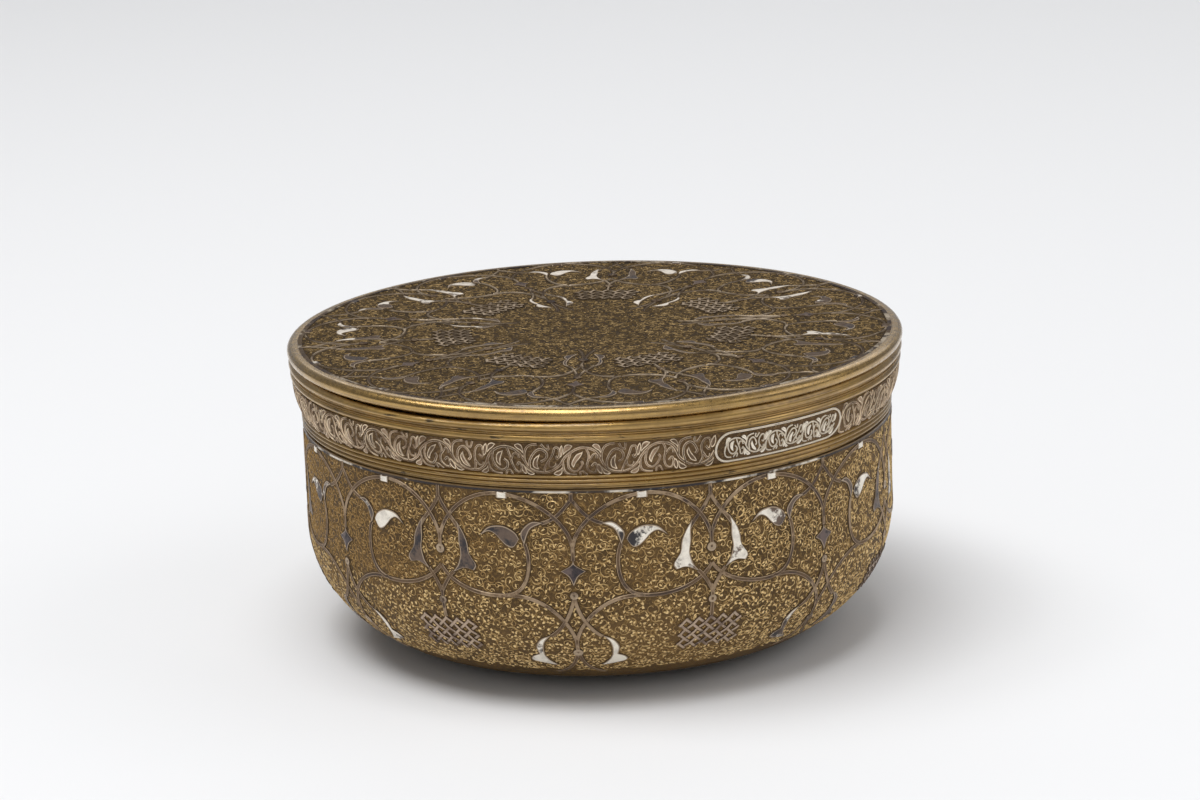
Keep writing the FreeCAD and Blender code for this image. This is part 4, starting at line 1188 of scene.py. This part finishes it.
class BOX_OT_scrolls(bpy.types.Operator):
    """Gold spirals and leaf dots raised from the ground between the inlay"""

    bl_idname = "box.scrolls"
    bl_label = "Gold scrolls"

    def execute(self, context):
        sizes = context.scene.box_ornament
        rng = np.random.default_rng(sizes.seed)
        line = sizes.line_width / MM
        # Each plan ends with how strongly painted shade dulls the gold on the wall's dim left side
        high = dict(pitch=sizes.upper_pitch / MM, turns=1.6, leaf=0.46, slim=0.62, filled=0.9, between=0.7,
                    line=line, painted_left_shade=1.3)
        low = dict(pitch=sizes.lower_pitch / MM, turns=1.0, leaf=0.4, slim=0.2, filled=0.95, between=0.7,
                   line=line, painted_left_shade=0.45)
        flat = dict(pitch=sizes.lid_pitch / MM, turns=1.1, leaf=0.34, slim=0.5, filled=0.6, between=0.4,
                    line=line * 0.8, painted_left_shade=0.0)
        bands = {"upper": high, "middle": high, "lower": low, "foot": low}
        covered = inlay_cover(wall, FIELD_LENGTH)
        for (band, plan), top, foot in zip(bands.items(), WALL_SCROLL_ENDS, WALL_SCROLL_ENDS[1:]):
            spirals(f"bowl_scrolls_{band}", wall, "bowl", covered, top, foot, plan, rng)
        covered = inlay_cover(lid_top, LID_FIELD_RADIUS)
        for band, top, foot in zip(("outer", "inner"), LID_SCROLL_ENDS, LID_SCROLL_ENDS[1:]):
            spirals(f"lid_scrolls_{band}", lid_top, "lid", covered, top, foot, flat, rng)
        return {"FINISHED"}


def inlay_cover(surface, depth):
    """A yes-or-no map of half a repeat, in cells of 0.1, of where inlay lies, and a test that reads it."""
    cell, gap = 0.1, 0.12
    leaf_brush, knot_brush = 0.18, 0.62
    x = np.arange(0, HALF + cell, cell)
    s = np.arange(0, depth + cell, cell)
    reach = reach_of_x(surface, s)
    inlaid = np.zeros((len(x), len(s)), bool)

    def stamp(px, ps, radius):
        near_s = np.abs(s - ps) <= radius
        scale = max(np.interp(ps, s, reach), 0.05)
        near_x = np.abs(x - px) <= radius / scale
        inside = ((x[near_x, None] - px) * scale) ** 2 + (s[None, near_s] - ps) ** 2 <= radius**2
        inlaid[np.ix_(near_x, near_s)] |= inside

    half_strap = bpy.context.scene.box_ornament.strap_width / MM / 2
    for poles, _ in SIDE_STRAPS + AXIS_STRAPS:
        for px, ps in bezier(poles, 160):
            stamp(px, ps, half_strap)
    for px, ps, radius in BEADS:
        stamp(px, ps, radius + gap)
    for left, right in list(LEAVES.values()) + [LOZENGE]:
        a, b = side_of(left, 60), side_of(right, 60)
        for share in np.linspace(0, 1, 24):
            for px, ps in a * (1 - share) + b * share:
                stamp(px, ps, leaf_brush)
    tx, ts, half, height = TAB
    beside = np.abs(x - tx) < half + gap
    inlaid |= beside[:, None] & (np.abs(s - ts - height / 2) < height / 2 + gap)[None]
    scale = np.interp(KNOT[1], s, reach)
    for u, v, _ in knot_lines().reshape(-1, 3):
        stamp(KNOT[0] + u / scale, KNOT[1] + v, knot_brush)

    def test(px, ps):
        folded = np.abs((px + HALF) % (2 * HALF) - HALF)
        column = np.clip(np.rint(folded / cell).astype(int), 0, len(x) - 1)
        row = np.clip(np.rint(ps / cell).astype(int), 0, len(s) - 1)
        return inlaid[column, row]

    return test


def spirals(name, surface, body, covered, top, foot, plan, rng):
    """Tendrils in staggered rows: each starts with a slight bend back and then curls tighter and tighter.

    Its heading is a power of the way along it, and its pace follows a radius that shrinks towards the
    heart. A line is a ridge with a sharp crest; where inlay covers it, its faces are left out. Small
    leaves sit in hearts and gaps.
    """
    pitch = plan["pitch"]
    centres = []
    for number, s in enumerate(np.arange(top + pitch * 0.3, foot, pitch * 0.87)):
        reach = reach_of_x(surface, np.array([s]))[0]
        count = max(int(round(2 * REPEATS * HALF * reach / pitch)), 5)
        x = (np.arange(count) + 0.5 * (number % 2)) * 2 * REPEATS * HALF / count
        centres.append(np.stack([x, np.full(count, s)], -1))
    centres = np.concatenate(centres)
    reach = reach_of_x(surface, centres[:, 1])
    centres[:, 0] += rng.uniform(-0.25, 0.25, len(centres)) * pitch / reach
    centres[:, 1] += rng.uniform(-0.25, 0.25, len(centres)) * pitch
    count, steps = len(centres), 16
    f = np.linspace(0, 1, steps)[None]
    curl = plan["turns"] * rng.uniform(0.7, 1.2, count)[:, None]
    hand = rng.choice([-1.0, 1.0], count)[:, None]
    heading = rng.uniform(0, 2 * np.pi, count)[:, None] + hand * 2 * np.pi * (curl * f**1.6 - 0.25 * f)
    bend = 2 * np.pi * curl * 1.6 * f**0.6
    pace = pitch * rng.uniform(0.8, 1.2, count)[:, None]
    pace = pace * ((0.62 * (1 - f) + 0.1) * bend + 0.5 * (1 - f) ** 2) / steps
    way = np.stack([np.cos(heading), np.sin(heading)], -1) * pace[..., None]
    way = np.cumsum(way, axis=1)
    way -= way[:, steps // 2:].mean(1, keepdims=True)
    courses = centres[:, None] + way / np.stack([reach, np.ones(count)], -1)[:, None]
    courses[..., 1] = np.clip(courses[..., 1], top - 0.5, foot + 0.8)
    taper = 0.6 + 0.5 * np.sin(np.pi * f) + 1.2 * np.exp(-(((f - 0.3) / 0.06) ** 2))
    taper = taper[..., None] * rng.uniform(0.8, 1.2, count)[:, None, None]
    share = np.array([-1.0, 0.0, 1.0])
    crest = np.array([GOLD_FOOT, GOLD_CREST, GOLD_FOOT])
    points = ribbons(surface, courses, share * plan["line"] / 2 * taper, crest * np.ones_like(taper))
    hidden = covered(courses[..., 0], courses[..., 1])
    keep = ~(hidden[:, :-1] | hidden[:, 1:])
    faces = quads(count, steps, len(share)).reshape(count, steps - 1, len(share) - 1, 4)[keep].reshape(-1, 4)
    tone = np.clip(rng.normal(0.8, 0.3, count), 0, 1)
    # A line's tone: its own tone at random, with painted shade added on the wall's left
    tones = (tone[:, None, None] + painted_left_shade(points, plan["painted_left_shade"])).ravel()
    hearts = courses[rng.random(count) < plan["filled"], -1]
    gaps = centres + np.stack([0.5 * pitch / reach, np.full(count, 0.29 * pitch)], -1)
    spots = np.concatenate([hearts, gaps[rng.random(count) < plan["between"]]])
    spots = spots[~covered(spots[:, 0], spots[:, 1]) & (spots[:, 1] < foot)]
    leaves, leaf_faces = small_leaves(surface, spots, plan["leaf"], plan["slim"], rng)
    leaf_tone = np.clip(rng.normal(0.05, 0.25, len(spots)), 0, 1)
    # The small leaves' tone carries the same painted shade
    leaf_tones = (leaf_tone[:, None] + painted_left_shade(leaves, plan["painted_left_shade"])).ravel()
    points = points.reshape(-1, 3)
    faces = np.concatenate([faces, leaf_faces + len(points)])
    points = np.concatenate([points, leaves.reshape(-1, 3)])
    piece(name, points, faces, body, own_finish(body, "scroll"), (),
          {"tone": np.concatenate([tones, leaf_tones])}, sharp=50.0)


def painted_left_shade(points, most):
    """Added dullness of the gold that paints shade on the wall's dim left side: a bell over the bearing, its
    middle left of the front.
    """
    bearing = np.arctan2(points[..., 0], -points[..., 1])
    return most * np.exp(-(((bearing - SHADE_AT) / SHADE_WIDTH) ** 2))


def small_leaves(surface, centres, size, slim, rng):
    """A small leaf is a low mound with a flat top.

    It is longest towards its tip, swells at two side lobes, and slim draws in its sides.
    """
    point, normal, right, down = tangent_frame(surface, centres[:, 0], centres[:, 1])
    count, sides = len(centres), 8
    turn = np.linspace(0, 2 * np.pi, sides, endpoint=False)[None]
    heading = turn + rng.uniform(0, 2 * np.pi, count)[:, None]
    lobes = (0.72 + 0.42 * np.cos(turn / 2) ** 6 + 0.22 * np.cos(3 * turn)) * (1 - slim * np.sin(turn) ** 2)
    reach = size * rng.uniform(0.7, 1.3, count)[:, None] * lobes
    spread = right[:, None] * np.cos(heading)[..., None] + down[:, None] * np.sin(heading)[..., None]
    share, height = np.array([1.0, 0.66]), np.array([GOLD_FOOT, GOLD_CREST])
    points = (point[:, None, None] + spread[:, :, None] * (reach[:, :, None] * share)[..., None]
              + normal[:, None, None] * height[None, None, :, None])
    skirt = quads(count, sides, len(share), closed_rows=True)
    top = np.array([[0, 1, 2, 3], [0, 3, 4, 7], [4, 5, 6, 7]]) * len(share) + 1
    tops = (top[None] + (np.arange(count) * sides * len(share))[:, None, None]).reshape(-1, 4)
    return points.reshape(count, -1, 3), np.concatenate([skirt[:, ::-1], tops[:, ::-1]])


class BOX_OT_frieze(bpy.types.Operator):
    """Leaf scroll round the collar and the framed panels that break it"""

    bl_idname = "box.frieze"
    bl_label = "Frieze"

    def execute(self, context):
        panels = [CARTOUCHE_BEARING + 2 * math.pi * panel / CARTOUCHES for panel in range(CARTOUCHES)]
        step = (2 * math.pi / CARTOUCHES - CARTOUCHE_SPAN) / WAVES_BETWEEN
        waves = []
        for bearing in panels:
            first = bearing + CARTOUCHE_SPAN / 2
            for count in range(WAVES_BETWEEN):
                middle = (first + (count + 0.5) * step) / FRIEZE_TURN
                waves.append((middle, step / FRIEZE_TURN / 2, count % 2 == 0))
        frieze_waves("collar_leaf_scroll", waves, 0.0, FRIEZE_LENGTH, "collar_scroll",
                     FINISHES["frieze_silver"], 1.35)
        half = CARTOUCHE_SPAN / FRIEZE_TURN / 2 - CARTOUCHE_MARGIN
        rise = FRIEZE_LENGTH / 2 - CARTOUCHE_MARGIN
        pitch = (half - rise * 0.6) / WAVES_INSIDE
        middles = [bearing / FRIEZE_TURN for bearing in panels]
        waves = [(middle + (2 * count + 1 - WAVES_INSIDE) * pitch, pitch, count % 2 == 0)
                 for middle in middles for count in range(WAVES_INSIDE)]
        silver = FINISHES["panel_silver"]
        frieze_waves("panel_leaf_scroll", waves, FRIEZE_LENGTH * 0.17, FRIEZE_LENGTH * 0.66,
                     "cartouche_scroll", silver, 0.75)
        points, across = panel_frames(middles, half, rise)
        silver_grids("panel_frames", points, "bowl", silver, "cartouche_frames", closed=True, across=across)
        return {"FINISHED"}


def frieze_waves(name, waves, top, height, node, finish, weight):
    """Each wave is an arched stem with a hook under it, sprigs and leaves; every second one is upside down.

    The lines are round ribs; the leaves have raised sides and a sunk middle. Lean and sag make each wave a
    little different between its ends.
    """
    middle, half, rising = [np.array(part) for part in zip(*waves)]
    rng = np.random.default_rng(len(waves))
    lean, sag = rng.uniform(-0.2, 0.2, (2, len(waves), 1))
    points, faces, values = [], [], []

    def at(drawing):
        u, v = np.asarray(drawing, float).T[:, None]
        inside = np.clip(1 - u**2, 0, 1)
        u, v = u + lean * inside * np.sin(2 * np.pi * v), v + sag * inside * v * (1 - v)
        v = np.where(rising[:, None], v, 1 - v)
        return np.stack([middle[:, None] + u * half[:, None], top + height * v], -1)

    def keep(made, across):
        faces.append(quads(*made.shape[:3]) + sum(len(part) for part in points))
        points.append(made.reshape(-1, 3))
        values.append(across.ravel())

    share = np.array([-1.0, -0.8, 0.0, 0.8, 1.0])
    profile = np.array([SUNK, 0.06, 0.16, 0.06, SUNK])
    poles, stem_width = FRIEZE_STEM
    lines = [(bezier(poles, 22), stem_width)]
    lines += [(through(line, 26), width) for line, width in FRIEZE_LINES]
    for line, width in lines:
        made = ribbons(frieze, at(line), share * width * weight / 2, profile)
        keep(made, nearness(share, made))
    for outer, inner in FRIEZE_LEAVES:
        first, second = at(through(outer, 20)), at(through(inner, 20))
        swap = rising[:, None, None]
        sides = np.where(swap, second, first), np.where(swap, first, second)
        keep(*leaf_points(frieze, sides, 0.14, 0.02, 0.5))
    piece(name, np.concatenate(points), np.concatenate(faces), "bowl", finish, [node],
          {"across": np.concatenate(values)}, weld=True)


def panel_frames(middles, half, rise):
    """A round-ended outline: a point runs along the long sides and round two half circles."""
    steps = 120
    nose = half - rise
    turn = math.pi * rise
    d = np.linspace(0, 4 * nose + 2 * math.pi * rise, steps, endpoint=False)
    stretch = [d < 2 * nose, d < 2 * nose + turn, d < 4 * nose + turn]
    right, left = (d - 2 * nose) / rise, (d - 4 * nose - turn) / rise
    x = np.select(stretch, [-nose + d, nose + rise * np.sin(right), nose - (d - 2 * nose - turn)],
                  -nose - rise * np.sin(left))
    s = np.select(stretch, [0 * d - rise, -rise * np.cos(right), 0 * d + rise], rise * np.cos(left))
    courses = np.stack([np.stack([middle + x, FRIEZE_LENGTH / 2 + s], -1) for middle in middles])
    share = np.array([-1.0, -0.85, 0.0, 0.85, 1.0])
    points = ribbons(frieze, courses, share * FRAME_HALF_WIDTH, np.array([SUNK, 0.05, 0.17, 0.05, SUNK]))
    return points, nearness(share, points)


class BOX_OT_finishes(bpy.types.Operator):
    """Materials of the metals and the ground"""

    bl_idname = "box.finishes"
    bl_label = "Finishes"

    def execute(self, context):
        make_finishes(context.scene.box_finish)
        return {"FINISHED"}


class BOX_PT_panel(bpy.types.Panel):
    """Lists the settings and the steps that build the box"""

    bl_label = "Lidded Box"
    bl_idname = "BOX_PT_panel"
    bl_space_type = "VIEW_3D"
    bl_region_type = "UI"
    bl_category = "Lidded Box"

    def draw(self, context):
        for settings in (context.scene.box_ornament, context.scene.box_finish, context.scene.box_stage):
            part = self.layout.box()
            for key in settings.__annotations__:
                part.prop(settings, key)
        for operator in OPERATORS:
            self.layout.operator(operator.bl_idname)


GROUPS = (BoxOrnament, BoxFinish, BoxStage)
OPERATORS = (BOX_OT_finishes, BOX_OT_stage, BOX_OT_turned_brass, BOX_OT_grounds, BOX_OT_straps, BOX_OT_leaves,
             BOX_OT_beads, BOX_OT_scrolls, BOX_OT_frieze)


def register():
    for made in (*GROUPS, *OPERATORS, BOX_PT_panel):
        bpy.utils.register_class(made)
    bpy.types.Scene.box_ornament = PointerProperty(type=BoxOrnament)
    bpy.types.Scene.box_finish = PointerProperty(type=BoxFinish)
    bpy.types.Scene.box_stage = PointerProperty(type=BoxStage)


def unregister():
    del bpy.types.Scene.box_stage
    del bpy.types.Scene.box_finish
    del bpy.types.Scene.box_ornament
    for made in reversed((*GROUPS, *OPERATORS, BOX_PT_panel)):
        bpy.utils.unregister_class(made)


def main():
    register()
    bpy.ops.box.finishes()
    bpy.ops.box.stage()
    bpy.ops.box.turned_brass()
    bpy.ops.box.grounds()
    bpy.ops.box.straps()
    bpy.ops.box.leaves()
    bpy.ops.box.beads()
    bpy.ops.box.scrolls()
    bpy.ops.box.frieze()


if __name__ == "__main__":
    main()
